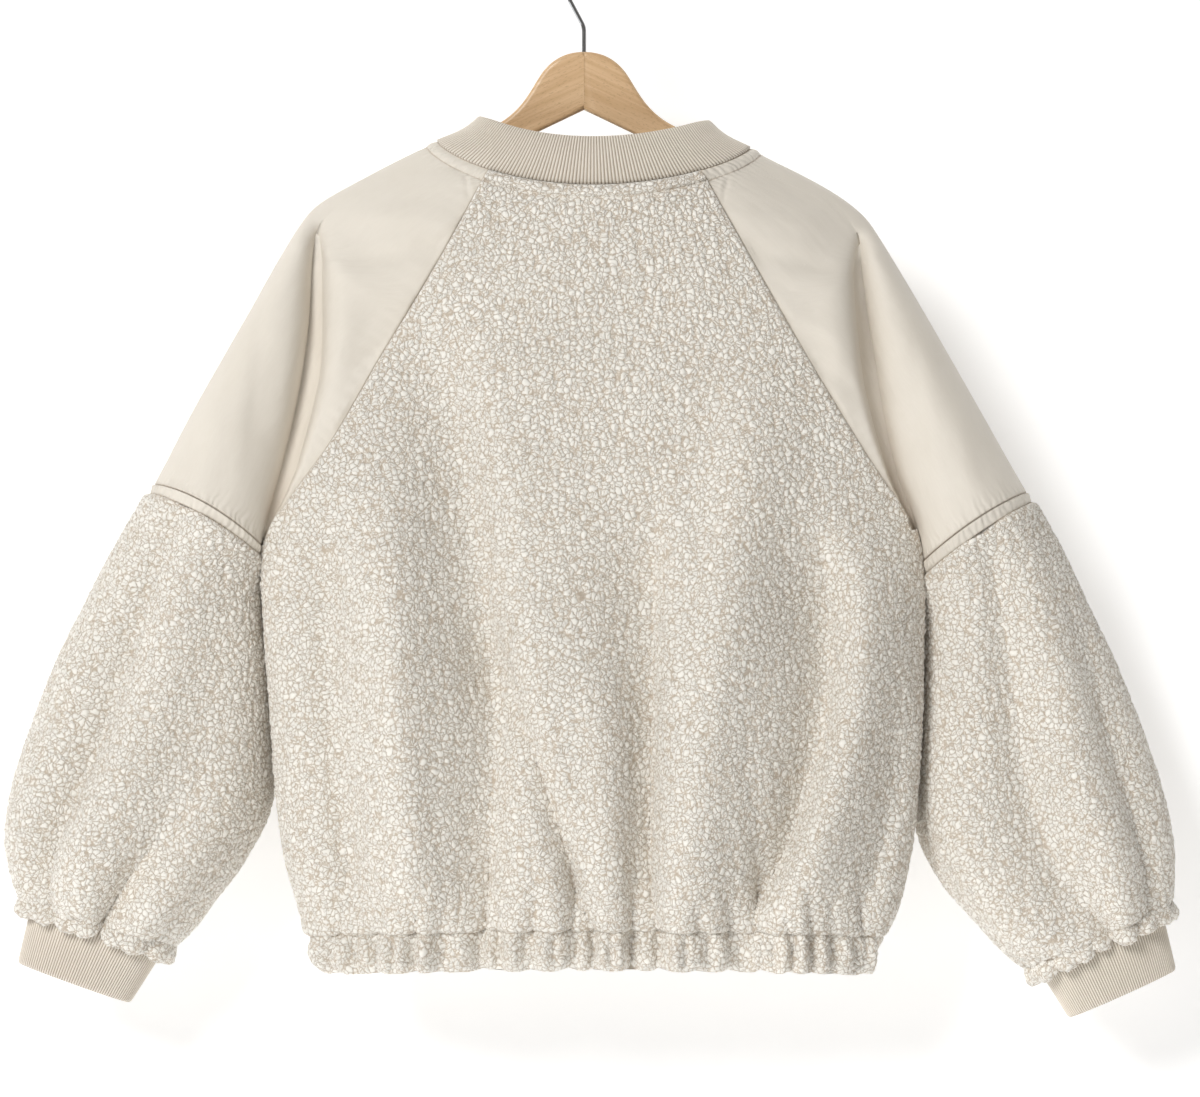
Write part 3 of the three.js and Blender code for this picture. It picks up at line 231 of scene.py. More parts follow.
# %% [markdown]
# ## The neck
# Three rings lead up to the collar: the panels' top edge, the seam where the collar is sewn on, and the
# collar's folded top. All three dip at the front, as a jacket's neck does.

# %% Neck rings
RINGS = table(
    "left right left_z right_z back front deep_back deep_front",
    (133, 134, 1.5, -4.5, -41, -105, 58, 64), (124, 125, 6, 0.5, -29.5, -94, 56, 61),
    (89, 91, 30, 27, 9, -52, 48, 47),
)
NECK_POWER = 2.3
NECK_CORNER = {"left": 88, "right": 91}
ZIP_EDGE = 7


def ring_value(ring, name):
    return RINGS[name][ring]


def neck_point(ring, angle):
    """A point of a neck ring; the angle starts at the centre back and is positive to the right."""
    s, c = np.sin(angle), np.cos(angle)
    half = np.where(s < 0, ring_value(ring, "left"), ring_value(ring, "right"))
    side = lerp(ring_value(ring, "left_z"), ring_value(ring, "right_z"), (1 + s) / 2)
    depth = np.where(c > 0, -ring_value(ring, "deep_back"), ring_value(ring, "deep_front"))
    low = np.where(c > 0, ring_value(ring, "back"), ring_value(ring, "front"))
    y = depth * np.sqrt(np.maximum(0, 1 - np.abs(s) ** NECK_POWER))
    return np.stack([half * s, y, side + (low - side) * np.abs(c) ** 1.5], axis=-1)


def angle_at(ring, x, face):
    half = np.where(x < 0, ring_value(ring, "left"), ring_value(ring, "right"))
    a = np.arcsin(np.clip(x / half, -1, 1))
    return a if face < 0 else np.where(x < 0, -1, 1) * math.pi - a


def neck_angles(start, end, count):
    """Ring angles evenly spaced along the collar's seam."""
    fine = np.linspace(start, end, 1601)
    run = run_along(neck_point(1, fine))
    return np.interp(np.linspace(0, run[-1], count + 1), run, fine)


def corner_angle(side, face):
    a = math.asin(NECK_CORNER[side] / ring_value(0, side))
    return SIGN[side] * (a if face < 0 else math.pi - a)


def zip_angle(ring):
    return math.pi - math.asin(ZIP_EDGE / ring_value(ring, "right"))


# %% [markdown]
# ## Rows of a body panel
# A panel is a grid: its rows run across the jacket and its columns up it. Below the armpits a row follows
# the oval from side seam to side seam. Above them it runs between the two slanting raglan seams, and the
# last rows settle onto the neck.

# %% Raglan seams and rows
RAGLAN = {
    "left": table(
        "t x z",
        (0, 261.5, -316), (0.1, 249.5, -290), (0.3, 208, -233), (0.52, 167, -163), (0.76, 121, -88),
        (1, 88, -25),
    ),
    "right": table(
        "t x z",
        (0, 261.5, -328), (0.1, 254, -300), (0.3, 217, -243), (0.52, 174, -173), (0.76, 130, -96),
        (1, 91, -27),
    ),
}
FRONT_NECK_DROP = 42
NECK_BLEND = (0.6, 1)  # the share of the seam over which the body's form becomes the neck ring's
HALF_BODY = 262.0  # half the body's width at the armpits, mm
DRAWN = 401  # points along a row before it is spaced evenly
ARMPIT_Z = {side: RAGLAN[side]["z"][0] for side in SIDES}


def raglan(side, face, t):
    """Points of the raglan seam; t is 0 at the armpit and 1 at the neck."""
    t = np.asarray(t, float)
    x = SIGN[side] * follow(RAGLAN[side], "t", "x", t)
    z = follow(RAGLAN[side], "t", "z", t) - (FRONT_NECK_DROP * t**1.5 if face > 0 else 0)
    corner = neck_point(0, corner_angle(side, face))
    seam = np.stack([x, body_y(face, x, z), z], axis=-1)
    return lerp(seam, corner, smoothstep(t, *NECK_BLEND)[..., None])


def upper_row(face, t, start, end, count):
    a, b, top_a, top_b = start(t), end(t), start(1.0), end(1.0)
    share = (1 - np.cos(np.pi * np.linspace(0, 1, DRAWN))) / 2
    x = lerp(a[0], b[0], share)
    top = neck_point(0, angle_at(0, lerp(top_a[0], top_b[0], share), face))
    sag = (top[:, 2] - lerp(top_a[2], top_b[2], share)) * t**2
    z = lerp(a[2], b[2], share) + sag
    y = lerp(body_y(face, x, z), top[:, 1], smoothstep(t, *NECK_BLEND))
    return evenly(np.stack([x, y, z], axis=1), count)


def section_row(face, z_at, x0, x1, count):
    """A row of the oval; an end given as None is the side seam, on the side of sign x."""
    def end(x, sign):
        if x is not None:
            return x
        at = sign * HALF_BODY
        for _ in range(4):
            at = sign * float(half_width(np.array(at), z_at(np.array(at))))
        return at

    first, last = end(*x0), end(*x1)
    x = lerp(first, last, (1 - np.cos(np.pi * np.linspace(0, 1, DRAWN))) / 2)
    y = body_y(face, x, z_at(x))
    y[0] = 0 if x0[0] is None else y[0]
    y[-1] = 0 if x1[0] is None else y[-1]
    return evenly(np.stack([x, y, z_at(x)], axis=1), count)


def lower_row(face, share, x0, x1, count):
    def z_at(x):
        armpit = lerp(ARMPIT_Z["left"], ARMPIT_Z["right"], np.clip((x + HALF_BODY) / (2 * HALF_BODY), 0, 1))
        return lerp(hem_z(x), armpit, share)

    return section_row(face, z_at, x0, x1, count)


# %% [markdown]
# ## Gathers at the hem
# Elastic in the hem casing draws the body in, so the cloth bunches into tucks of uneven depth. Each row of
# these tables is one tuck: where it crosses the seam, how far up the body it reaches, how deep it is and
# how far it leans. The cloth between two tucks puffs out.

# %% Gather tables
TUCKS = "x reach deep lean"
BACK_TUCKS = table(
    TUCKS,
    (-202, 62, 5.0, 4), (-170, 40, 3.6, 2), (-142, 95, 5.0, 6), (-122, 40, 3.6, -2), (-87, 120, 6.4, 12),
    (-75, 50, 4.4, 4), (-48, 60, 4.2, 4), (-20, 120, 5.6, 12), (2, 45, 3.6, 0), (30, 100, 5.0, -5),
    (54, 130, 6.0, -10), (83, 50, 4.0, -4), (108, 60, 4.4, -6), (134, 130, 6.0, -12), (156, 56, 4.4, -6),
    (173, 90, 4.6, -9), (189, 50, 4.0, -5), (216, 60, 4.6, -8),
)
FRONT_TUCKS = table(
    TUCKS,
    (-214, 60, 4.6, 6), (-186, 90, 4.8, 5), (-160, 50, 4.0, 3), (-134, 90, 5.0, 6), (-108, 48, 4.0, 2),
    (-84, 120, 5.8, 8), (-58, 60, 4.2, 3), (-34, 70, 4.4, 3), (33, 70, 4.4, -3), (60, 56, 4.2, -3),
    (86, 120, 5.8, -8), (112, 50, 4.0, -3), (138, 90, 5.0, -6), (162, 50, 4.0, -3), (188, 80, 4.8, -5),
    (214, 60, 4.6, -6),
)
TUCK_WIDTH, TUCK_WIDENS, TUCK_DEPTH = 5.5, 0.9, 1.5  # mm, then shares of the width and of the depth
TUCK_FADE, PUFF, PUFF_REACH, CASING_FADE = 0.55, 4.4, 34, 60  # a share of the reach, then mm
TUCK_LIFT, LIFT_REACH = 0.3, 18
TUCKS_BY_ZIP = (12, 24)  # the tucks start over this span beside the zip, mm
BESIDE_SIDE = (4, 22)  # the tucks die away where the cloth turns into the side seam, by its depth, mm


def tuck_relief(tucks, x, above):
    """Tucks and puffs at height above the hem seam; below the seam they carry on into the casing."""
    total = np.zeros(np.broadcast(x, above).shape)
    up, down = np.maximum(above, 0), np.maximum(-above, 0)
    for x0, reach, deep, lean in zip(*tucks.values()):
        off = x - (x0 + lean * up / reach)
        wide = TUCK_WIDTH * (1 + TUCK_WIDENS * up / reach)
        fade = np.exp(-((up / (TUCK_FADE * reach)) ** 1.4)) * np.exp(-down / CASING_FADE)
        total = total - TUCK_DEPTH * deep * fade * np.exp(-((off / wide) ** 2))
    return total + PUFF * np.exp(-up / PUFF_REACH) * np.exp(-down / CASING_FADE)


def gathered(face, row, above):
    """Moves a row's points in and out with the tucks."""
    tucks = BACK_TUCKS if face < 0 else FRONT_TUCKS
    x = row[..., 0]
    by_zip = smoothstep(np.abs(x), *TUCKS_BY_ZIP) if face > 0 else 1
    side = smoothstep(np.abs(row[..., 1]), *BESIDE_SIDE)
    out = unit(np.stack([x * 0.25, row[..., 1], np.zeros_like(x)], axis=-1))
    relief = tuck_relief(tucks, x, above) * by_zip * side
    lift = -TUCK_LIFT * relief * np.exp(-np.abs(above) / LIFT_REACH)
    pulled = np.stack([0 * x, 0 * x, lift], axis=-1)
    return row + out * relief[..., None] + pulled


# %% [markdown]
# ## From a grid to a shell of cloth
# Real cloth has a right side, a wrong side and a raw edge. `cloth_shell` gives a grid of points both
# sides: the right side in full detail, the wrong side with fewer columns and rows, as it is plain, and a
# rim that joins them. It keeps four facts on the points for later cells: the place in the frame, the flat
# place on the cloth, whether it is the right side, and how near a seam it is.


# %% Shell maker
def grid_normals(grid, closed, inside):
    """Unit normals of a grid (rows, columns, xyz), facing away from an inside point."""
    if closed:
        along = np.roll(grid, -1, axis=1) - np.roll(grid, 1, axis=1)
    else:
        along = np.gradient(grid, axis=1)
    normal = unit(np.cross(along, np.gradient(grid, axis=0)))
    if np.sum(normal * (grid - np.asarray(inside, float))) < 0:
        normal = -normal
    return normal


def seam_distances(grid, closed):
    """Distance in mm of each point from the grid's nearest open edge, and its flat place (u, v)."""
    u, v = run_along(grid, axis=1), run_along(grid)
    ends = [v, v[-1:] - v]
    if not closed:
        ends += [u, u[:, -1:] - u]
    return np.minimum.reduce(ends), np.stack([u - u.mean(axis=1, keepdims=True), v], axis=-1)


def skip(count, step):
    """Every step-th index up to count - 1, always with the last one."""
    return np.unique(np.append(np.arange(0, count, step), count - 1))


def zigzag(fine, coarse):
    """Triangles between a fine chain of points and a coarse one, which holds (place on the fine, index)."""
    faces = []
    for (start, here), (end, there) in zip(coarse, coarse[1:]):
        middle = (start + end) // 2
        faces += [(fine[i], fine[i + 1], here if i < middle else there) for i in range(start, end)]
        faces.append((fine[middle], there, here))
    return faces


def ring_faces(base, rings, sides):
    """Faces of a closed tube: each ring of points joined to the next, and a cap at each end."""
    faces = []
    for start in range(base, base + (rings - 1) * sides, sides):
        after = start + sides
        for i in range(sides):
            onwards = (i + 1) % sides
            faces.append((start + i, start + onwards, after + onwards, after + i))
    return [*faces, tuple(range(base, base + sides)), tuple(range(after, after + sides))]


def cloth_shell(name, grid, out, into, closed=False, inside=(0, 0, -300), normals=None, step=6, extra=None):
    """A closed shell of cloth: out and into are the distances from the grid to its two faces, in mm.

    extra holds further facts by name, each a number for every point of the grid."""
    if normals is None:
        normals = grid_normals(grid, closed, inside)
    rows, columns = grid.shape[:2]
    keep_rows = skip(rows, step)
    keep_columns = np.arange(0, columns, step) if closed else skip(columns, step)
    kept = np.ix_(keep_rows, keep_columns)
    right = grid + normals * np.broadcast_to(out, (rows, columns))[..., None]
    wrong = (grid - normals * np.broadcast_to(into, (rows, columns))[..., None])[kept]

    front = np.arange(rows * columns).reshape(rows, columns)
    behind = rows * columns + np.arange(wrong.shape[0] * wrong.shape[1]).reshape(wrong.shape[:2])
    places = keep_columns
    if closed:
        front = np.concatenate([front, front[:, :1]], axis=1)
        behind = np.concatenate([behind, behind[:, :1]], axis=1)
        places = np.append(keep_columns, columns)
    faces = []
    for g in (front, behind):
        faces += np.stack([g[:-1, :-1], g[:-1, 1:], g[1:, 1:], g[1:, :-1]], axis=-1).reshape(-1, 4).tolist()
    for r in (0, -1):
        faces += zigzag(front[r], list(zip(places, behind[r])))
    if not closed:
        for c in (0, -1):
            faces += zigzag(front[:, c], list(zip(keep_rows, behind[:, c])))
    edge, flat = seam_distances(grid, closed)
    flat_uv = np.concatenate([flat.reshape(-1, 2), flat[kept].reshape(-1, 2)])
    points = in_frame(np.concatenate([right.reshape(-1, 3), wrong.reshape(-1, 3)]))
    facts = {
        "rest_place": points,
        "flat_place": np.c_[flat_uv, 0 * points[:, :1]] * MM,
        "right_side": np.concatenate([np.ones(right[..., 0].size), np.zeros(wrong[..., 0].size)]),
        "from_seam": np.concatenate([edge.ravel(), edge[kept].ravel()]) * MM,
    }
    for fact, values in (extra or {}).items():
        values = np.broadcast_to(values, (rows, columns))
        facts[fact] = np.concatenate([values.ravel(), values[kept].ravel()])
    return solid_piece(name, points, faces, facts)


def solid_piece(name, points, faces, facts=None):
    """An object from points in metres and faces, with every face turned outwards."""
    mesh = bpy.data.meshes.new(name)
    mesh.from_pydata(np.asarray(points).tolist(), [], [tuple(int(i) for i in f) for f in faces])
    for fact, values in (facts or {}).items():
        keep_fact(mesh, fact, values)
    work = bmesh.new()
    work.from_mesh(mesh)
    bmesh.ops.recalc_face_normals(work, faces=work.faces)
    work.to_mesh(mesh)
    work.free()
    mesh.shade_smooth()
    piece = bpy.data.objects.new(name, mesh)
    bpy.context.scene.collection.objects.link(piece)
    return piece


def keep_fact(mesh, name, values):
    """Stores a number or a vector on each point, under a name that modifiers and materials can read."""
    values = np.asarray(values, np.float32)
    kind, field = ("FLOAT_VECTOR", "vector") if values.ndim == 2 else ("FLOAT", "value")
    mesh.attributes.new(name, kind, "POINT").data.foreach_set(field, values.ravel())
    return name


def triangles(obj):
    return sum(len(p.vertices) - 2 for p in obj.data.polygons)


def on_jacket(obj, slot, *solids):
    """The piece rides on the jacket and stands for its solids, which are hidden. Its slot is not used."""
    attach(obj, BODY)
    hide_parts(*solids)
    print(f"{obj.name}: {triangles(obj)} triangles")
    return obj


# %% [markdown]
# ## The body panels
# The back is one panel and the front two. Their grids share the rows of their side seams and raglan
# seams, and at those seams both sides take the mean of their normals, so the two edges of cloth meet.

# %% Body grids
LOWER = np.linspace(0, 1, 158)[:-1]
UPPER = np.linspace(0, 1, 164)
BACK_COLUMNS, FRONT_COLUMNS = 290, 146


def body_grid(face, lower_ends, upper_ends, columns):
    low = [lower_row(face, share, *lower_ends, columns) for share in LOWER]
    low = [gathered(face, row, row[:, 2] - hem_z(row[:, 0])) for row in low]
    high = [upper_row(face, t, *upper_ends, columns) for t in UPPER]
    return np.array(low + high)


def front_centre(side):
    zip_x = SIGN[side] * ZIP_EDGE
    top = neck_point(0, SIGN[side] * zip_angle(0))

    def at(t):
        z = lerp((ARMPIT_Z["left"] + ARMPIT_Z["right"]) / 2, ring_value(0, "front"), t)
        y = lerp(float(body_y(1, np.array(zip_x), np.array(z))), top[1], float(smoothstep(t, *NECK_BLEND)))
        return np.array([zip_x, y, lerp(z, top[2], t)])

    return at


def raglan_line(side, face):
    return lambda t: raglan(side, face, t)


BACK_ENDS = ((None, -1), (None, 1))
FRONT_ENDS = {side: ((SIGN[side] * ZIP_EDGE, 0), (None, SIGN[side])) for side in SIDES}
back_seams = [raglan_line(side, -1) for side in SIDES]
grids = {"back": body_grid(-1, BACK_ENDS, back_seams, BACK_COLUMNS)}
for side in SIDES:
    upper_ends = (front_centre(side), raglan_line(side, 1))
    grids["front_" + side] = body_grid(1, FRONT_ENDS[side], upper_ends, FRONT_COLUMNS)
print("body grids:", {name: grid.shape[:2] for name, grid in grids.items()})

# %% [markdown]
# ## The raglan shoulders
# A raglan sleeve runs up to the neck in one piece. This one hangs over the hanger's arm: from the seam the
# cloth sinks into a valley, then rounds over the shoulder as half a tube, back and front alike. The
# valley runs from the hanger's tip down to the armpit, and the tube grows wider towards the welt.

# %% Shoulder tables
SHOULDER = {
    "left": table(
        "t x z",
        (0, 350, -268.5), (0.2, 320.2, -210.5), (0.42, 276.5, -133.5), (0.6, 241.5, -72.5),
        (0.68, 223.5, -47.5), (0.76, 203, -33.5), (0.88, 164, -12.3), (1, 133, 1.5),
    ),
    "right": table(
        "t x z",
        (0, 346, -274.5), (0.2, 312.5, -214.5), (0.42, 269.5, -139), (0.6, 233.5, -78.5),
        (0.68, 216.5, -53.5), (0.76, 197.6, -37), (0.88, 162, -18.3), (1, 134, -4.5),
    ),
}
VALLEY = {
    "left": table(
        "t x z",
        (0.1, 254, -288), (0.2, 242, -250), (0.42, 223.5, -166), (0.6, 220.5, -86), (0.68, 217, -56),
    ),
    "right": table(
        "t x z",
        (0.1, 255, -298), (0.2, 240, -260), (0.42, 221.5, -178), (0.6, 211.5, -98), (0.68, 210, -62),
    ),
}
TUBE = "t half floor power flat open_in open_out"
SLEEVE_TOP = table(
    TUBE,
    (0, 52, 1, 5, 0.5, 0, 0), (0.1, 51.5, 3, 7, 0.5, 3, 4), (0.2, 51, 3, 8, 0.5, 8, 7),
    (0.42, 43, 4, 8, 0.5, 8, 8), (0.6, 25, 5, 6, 0.55, 4.5, 4), (0.68, 11, 10, 1.9, 0.8, 0, 0),
    (1, 11, 10, 1.9, 0.8, 0, 0),
)
ARM_ROUND = 11  # the cloth's rounding over the hanger's arm, mm
RING = "s ox oz ix iz half swing"
SLEEVE = {
    "left": table(
        RING,
        (0, 350, -268.5, 265, -316.5, 52, 0), (1, 353.5, -276, 266, -325, 52, 7),
        (2, 378.5, -317, 269, -360, 54, 26), (3, 402, -361, 263, -412, 57, 34),
        (4, 426, -409, 260, -470, 59, 37), (5, 445, -457, 263, -524, 60, 37),
        (6, 461, -505, 283, -566, 60, 35), (7, 468, -545, 308, -600, 57, 32),
        (8, 466, -573, 325, -623, 51, 31), (9, 459, -595, 338, -634, 42, 30),
        (10, 449, -605, 346, -640, 28, 30), (11, 454, -627, 361, -663, 24, 30),
        (12, 460, -652, 373.5, -683, 25, 30),
    ),
    "right": table(
        RING,
        (0, 346, -274.5, 264, -329, 52, 0), (1, 350, -283, 265.5, -340, 52, 7),
        (2, 370.5, -318, 268.5, -378, 54, 26), (3, 394, -367, 266.5, -428, 57, 35),
        (4, 417, -415, 264, -484, 59, 40), (5, 437, -465, 264, -540, 60, 41),
        (6, 453, -513, 282, -582, 60, 38), (7, 462, -554, 312, -617, 57, 35),
        (8, 463, -584, 334, -641, 51, 33), (9, 461, -601, 349, -651, 42, 32),
        (10, 455, -609, 359, -655, 28, 32), (11, 459.5, -632, 372, -674, 24, 32),
        (12, 466.5, -658, 384, -695, 25, 32),
    ),
}
WELT_BOW = {"left": 10, "right": 7}


# %% Sleeve rings
def ring_frame(side, s):
    """Centre, half arm and half depth of a sleeve's ring: 0 is above the welt and 12 the cuff's edge."""
    ox, oz, ix, iz, half, swing = (float(follow(SLEEVE[side], "s", c, s)) for c in RING.split()[1:])
    outer, inner = np.array([SIGN[side] * ox, swing, oz]), np.array([SIGN[side] * ix, swing, iz])
    return (outer + inner) / 2, (inner - outer) / 2, half


def ring_point(side, s, angle):
    """Angle 0 is the underarm, 90 degrees the back and 180 the outer edge."""
    centre, arm, half = ring_frame(side, s)
    c, d = np.cos(angle), np.sin(angle)
    bow = WELT_BOW[side] * (d * d) ** 0.8 * np.clip(1 - s / 6, 0, 1)
    return centre + c[..., None] * arm + np.stack([0 * d, -half * d, bow], axis=-1)


def ring_row(side, s, columns):
    return evenly(ring_point(side, s, np.linspace(0, 2 * np.pi, 721)), columns)[:-1]


def ring_normals(side, s, row):
    centre, arm, half = ring_frame(side, s)
    a = np.linalg.norm(arm)
    d = row - centre
    along = (d @ (arm / a)) / a**2
    return unit(along[:, None] * (arm / a) + np.stack([0 * along, d[:, 1] / half**2, 0 * along], axis=1))


# %% Shoulder rows
STATIONS = [0, 0.3, 0.58, 0.82, 1]
HALF_STEPS = len(STATIONS) - 1 + 6
RING_ANGLES = np.radians([0.7, 2.5, 5, 7.5, 10, *np.linspace(10, 180, 7)[1:]])
SHELL_COLUMNS = 84  # from the raglan seam to the shoulder line
STATION_AT = np.linspace(0, HALF_STEPS, SHELL_COLUMNS + 1)
VALLEY_T = 0.12  # below this share the rows blend into the sleeve's first ring
VALLEY_ENDS = 0.68  # above it the valley has run out
SLOPE_STEP = 0.03  # how far above that share the valley's slope is measured
ARM_BLEND = (0.6, 0.7)  # the share over which the cloth comes to lie on the hanger's arm
NECK_TAKES = (0.66, 1)  # and over which it takes up the neck ring's line


def level_point(lines, side, t):
    """A point of a side's line at t, in the plane between back and front."""
    x, z = (float(follow(lines[side], "t", column, t)) for column in "xz")
    return np.array([SIGN[side] * x, 0, z])


def proud(points, depth):
    """The same points, moved towards the front by depth."""
    return points + np.stack([0 * depth, depth, 0 * depth], axis=1)


def valley_row(side, face, t):
    """From the raglan seam through the valley and over the tube to the shoulder line."""
    half, floor, power, flat, open_in, open_out = (
        float(np.interp(t, SLEEVE_TOP["t"], SLEEVE_TOP[column])) for column in TUBE.split()[1:]
    )
    seam = raglan(side, face, t)
    top = level_point(SHOULDER, side, t)
    flat_seam = seam * [1, 0, 1]
    valley = level_point(VALLEY, side, t) if t < VALLEY_ENDS else top + 9 * unit(flat_seam - top)
    u = np.interp(STATION_AT, range(len(STATIONS)), STATIONS)
    outward = unit(valley - flat_seam)
    depth = floor + (abs(seam[1]) - floor) * (1 - u**power) ** flat
    near = proud(lerp(flat_seam, valley - open_in * outward, u[:, None]), face * depth)
    start = math.asin(min(1, floor / half))
    a = np.interp(STATION_AT, [len(STATIONS) - 1, HALF_STEPS], [start, math.pi])
    along = (math.cos(start) - np.cos(a)) / (1 + math.cos(start))
    foot = valley + open_out * outward
    tube = proud(foot + along[:, None] * (top - foot), face * half * np.sin(a))
    row = np.where((STATION_AT <= len(STATIONS) - 1)[:, None], near, tube)
    over = float(smoothstep(t, *ARM_BLEND))
    return lerp(row, arm_row(seam, top, face), over) if over else row


def arm_row(seam, top, face):
    """Above the valley the cloth slopes straight up to the hanger's arm and rounds over it."""
    length = np.linalg.norm((top - seam) * [1, 0, 1])
    w = np.interp(STATION_AT, [0, len(STATIONS) - 1, HALF_STEPS], [0, 1 - 12 / length, 1])
    left = (1 - w) * length
    rounding = np.sqrt(ARM_ROUND**2 - np.maximum(0, ARM_ROUND - left) ** 2)
    slope = abs(seam[1]) * (1 - w**2.2)
    depth = (slope**3 + (rounding * smoothstep(w, 0, 0.4)) ** 3) ** (1 / 3)
    return proud(lerp(seam * [1, 0, 1], top, w[:, None]), face * depth)


def shoulder_half(side, face, t):
    if t < VALLEY_T:
        angle = np.interp(STATION_AT, range(HALF_STEPS + 1), RING_ANGLES)
        ring = ring_point(side, 0, angle if face < 0 else 2 * np.pi - angle)
        upper = valley_row(side, face, VALLEY_T)
        slope = (valley_row(side, face, VALLEY_T + SLOPE_STEP) - upper) / SLOPE_STEP * VALLEY_T
        u = t / VALLEY_T
        row = ring * (1 - u) ** 2 * (1 + 2 * u) + upper * u * u * (3 - 2 * u)
        row += (upper - ring) * u * (1 - u) ** 2 - slope * u * u * (1 - u)
        row[0] = lerp(ring[0], raglan(side, face, t), float(smoothstep(u, 0, 0.3)))
        return row
    row = valley_row(side, face, t)
    near = float(smoothstep(t, *NECK_TAKES))
    if near == 0:
        return row
    shoulder = SIGN[side] * math.pi / 2
    stations = neck_angles(corner_angle(side, face), shoulder, HALF_STEPS)
    neck = neck_point(0, np.interp(STATION_AT, range(HALF_STEPS + 1), stations))
    return lerp(row, neck, near)


def shoulder_grid(side):
    rows = []
    for t in UPPER:
        back, front = shoulder_half(side, -1, t), shoulder_half(side, 1, t)[::-1]
        rows.append(np.concatenate([back, front[1:]]))
    return np.array(rows)


for side in SIDES:
    grids["shoulder_" + side] = shoulder_grid(side)
print("shoulder grids:", grids["shoulder_left"].shape[:2])


# %% Meeting at the seams
INSIDE = {"back": (0, 0, -300), "front_left": (0, 0, -300), "front_right": (0, 0, -300),
          "shoulder_left": (-220, 0, -220), "shoulder_right": (220, 0, -220)}
normals = {name: grid_normals(grid, False, INSIDE[name]) for name, grid in grids.items()}
SEAM_REACH = 6  # the shared normal fades out over this distance into each panel, mm


def meet(*edges):
    """Each edge is (panel, rows, column 0 or -1): the panels take one mean normal along the shared seam."""
    shared = unit(sum(normals[name][rows, column] for name, rows, column in edges))
    for name, rows, column in edges:
        grid, normal = grids[name][rows], normals[name][rows]
        line = grid[:, ::-1] if column else grid
        weight = np.exp(-run_along(line, axis=1) / SEAM_REACH)
        weight = weight[:, ::-1] if column else weight
        normals[name][rows] = unit(lerp(normal, shared[:, None, :], weight[..., None]))


low, high = slice(0, len(LOWER)), slice(len(LOWER), None)
for side in SIDES:
    back_edge = 0 if side == "left" else -1
    meet(("back", low, back_edge), ("front_" + side, low, -1))
    meet(("back", high, back_edge), ("shoulder_" + side, slice(None), 0))
    meet(("front_" + side, high, -1), ("shoulder_" + side, slice(None), -1))
print("seams meet:", len(SIDES) * 3)


# %% [markdown]
# ## The curls of the sherpa
# Sherpa is a knit with a brushed, curled pile: thousands of small soft lumps, 4 to 8 mm across, packed
# against each other with dark creases between them. One recipe of texture nodes describes a field of
# such lumps in space. It is built twice: as geometry nodes that lift the points of the cloth, and as a
# shader group that tints and bumps the same lumps. Both read the place stored on the cloth, so they agree.

# %% Curl recipe
CURL_SIZE, WORM_SIZE = 0.0046, 0.0047  # one lump, and one winding strand, metres
BROAD_BEND, FINE_BEND = (0.009, 0.0028), (0.0024, 0.0012)  # how the lumps are bent: wave and reach, metres
FORM_CREASE = (0.26, 0.06, 0.7)  # for the height: the width of gaps and of strands, and the strands' share
SHADE_CREASE = (0.15, 0.032, 0.8)  # for the colour of the painted shade in the creases, narrower


def add_node(tree, kind, label="", **settings):
    node = tree.nodes.new(kind)
    node.label = label
    for name, value in settings.items():
        setattr(node, name, value)
    return node


def wire(tree, value, socket):
    """Feeds a socket from another socket, or sets it to a plain value."""
    if isinstance(value, bpy.types.NodeSocket):
        tree.links.new(value, socket)
    else:
        socket.default_value = value


def maths(tree, operation, *values, clamp=False):
    node = add_node(tree, "ShaderNodeMath", operation.lower(), operation=operation, use_clamp=clamp)
    for k, value in enumerate(values):
        wire(tree, value, node.inputs[k])
    return node.outputs[0]


def vector_maths(tree, operation, a, b):
    node = add_node(tree, "ShaderNodeVectorMath", operation.lower(), operation=operation)
    wire(tree, a, node.inputs[0])
    wire(tree, b, node.inputs["Scale"] if operation == "SCALE" else node.inputs[1])
    return node.outputs[0]


def remap(tree, value, low, high, new_low=0.0, new_high=1.0):
    node = add_node(tree, "ShaderNodeMapRange", "remap", interpolation_type="SMOOTHSTEP")
    names = ("Value", "From Min", "From Max", "To Min", "To Max")
    for name, given_value in zip(names, (value, low, high, new_low, new_high)):
        wire(tree, given_value, node.inputs[name])
    return node.outputs["Result"]


def noise(tree, place, size, detail=2.0, output="Fac"):
    node = add_node(tree, "ShaderNodeTexNoise", "noise")
    wire(tree, place, node.inputs["Vector"])
    node.inputs["Scale"].default_value = 1 / size
    node.inputs["Detail"].default_value = detail
    return node.outputs[output]


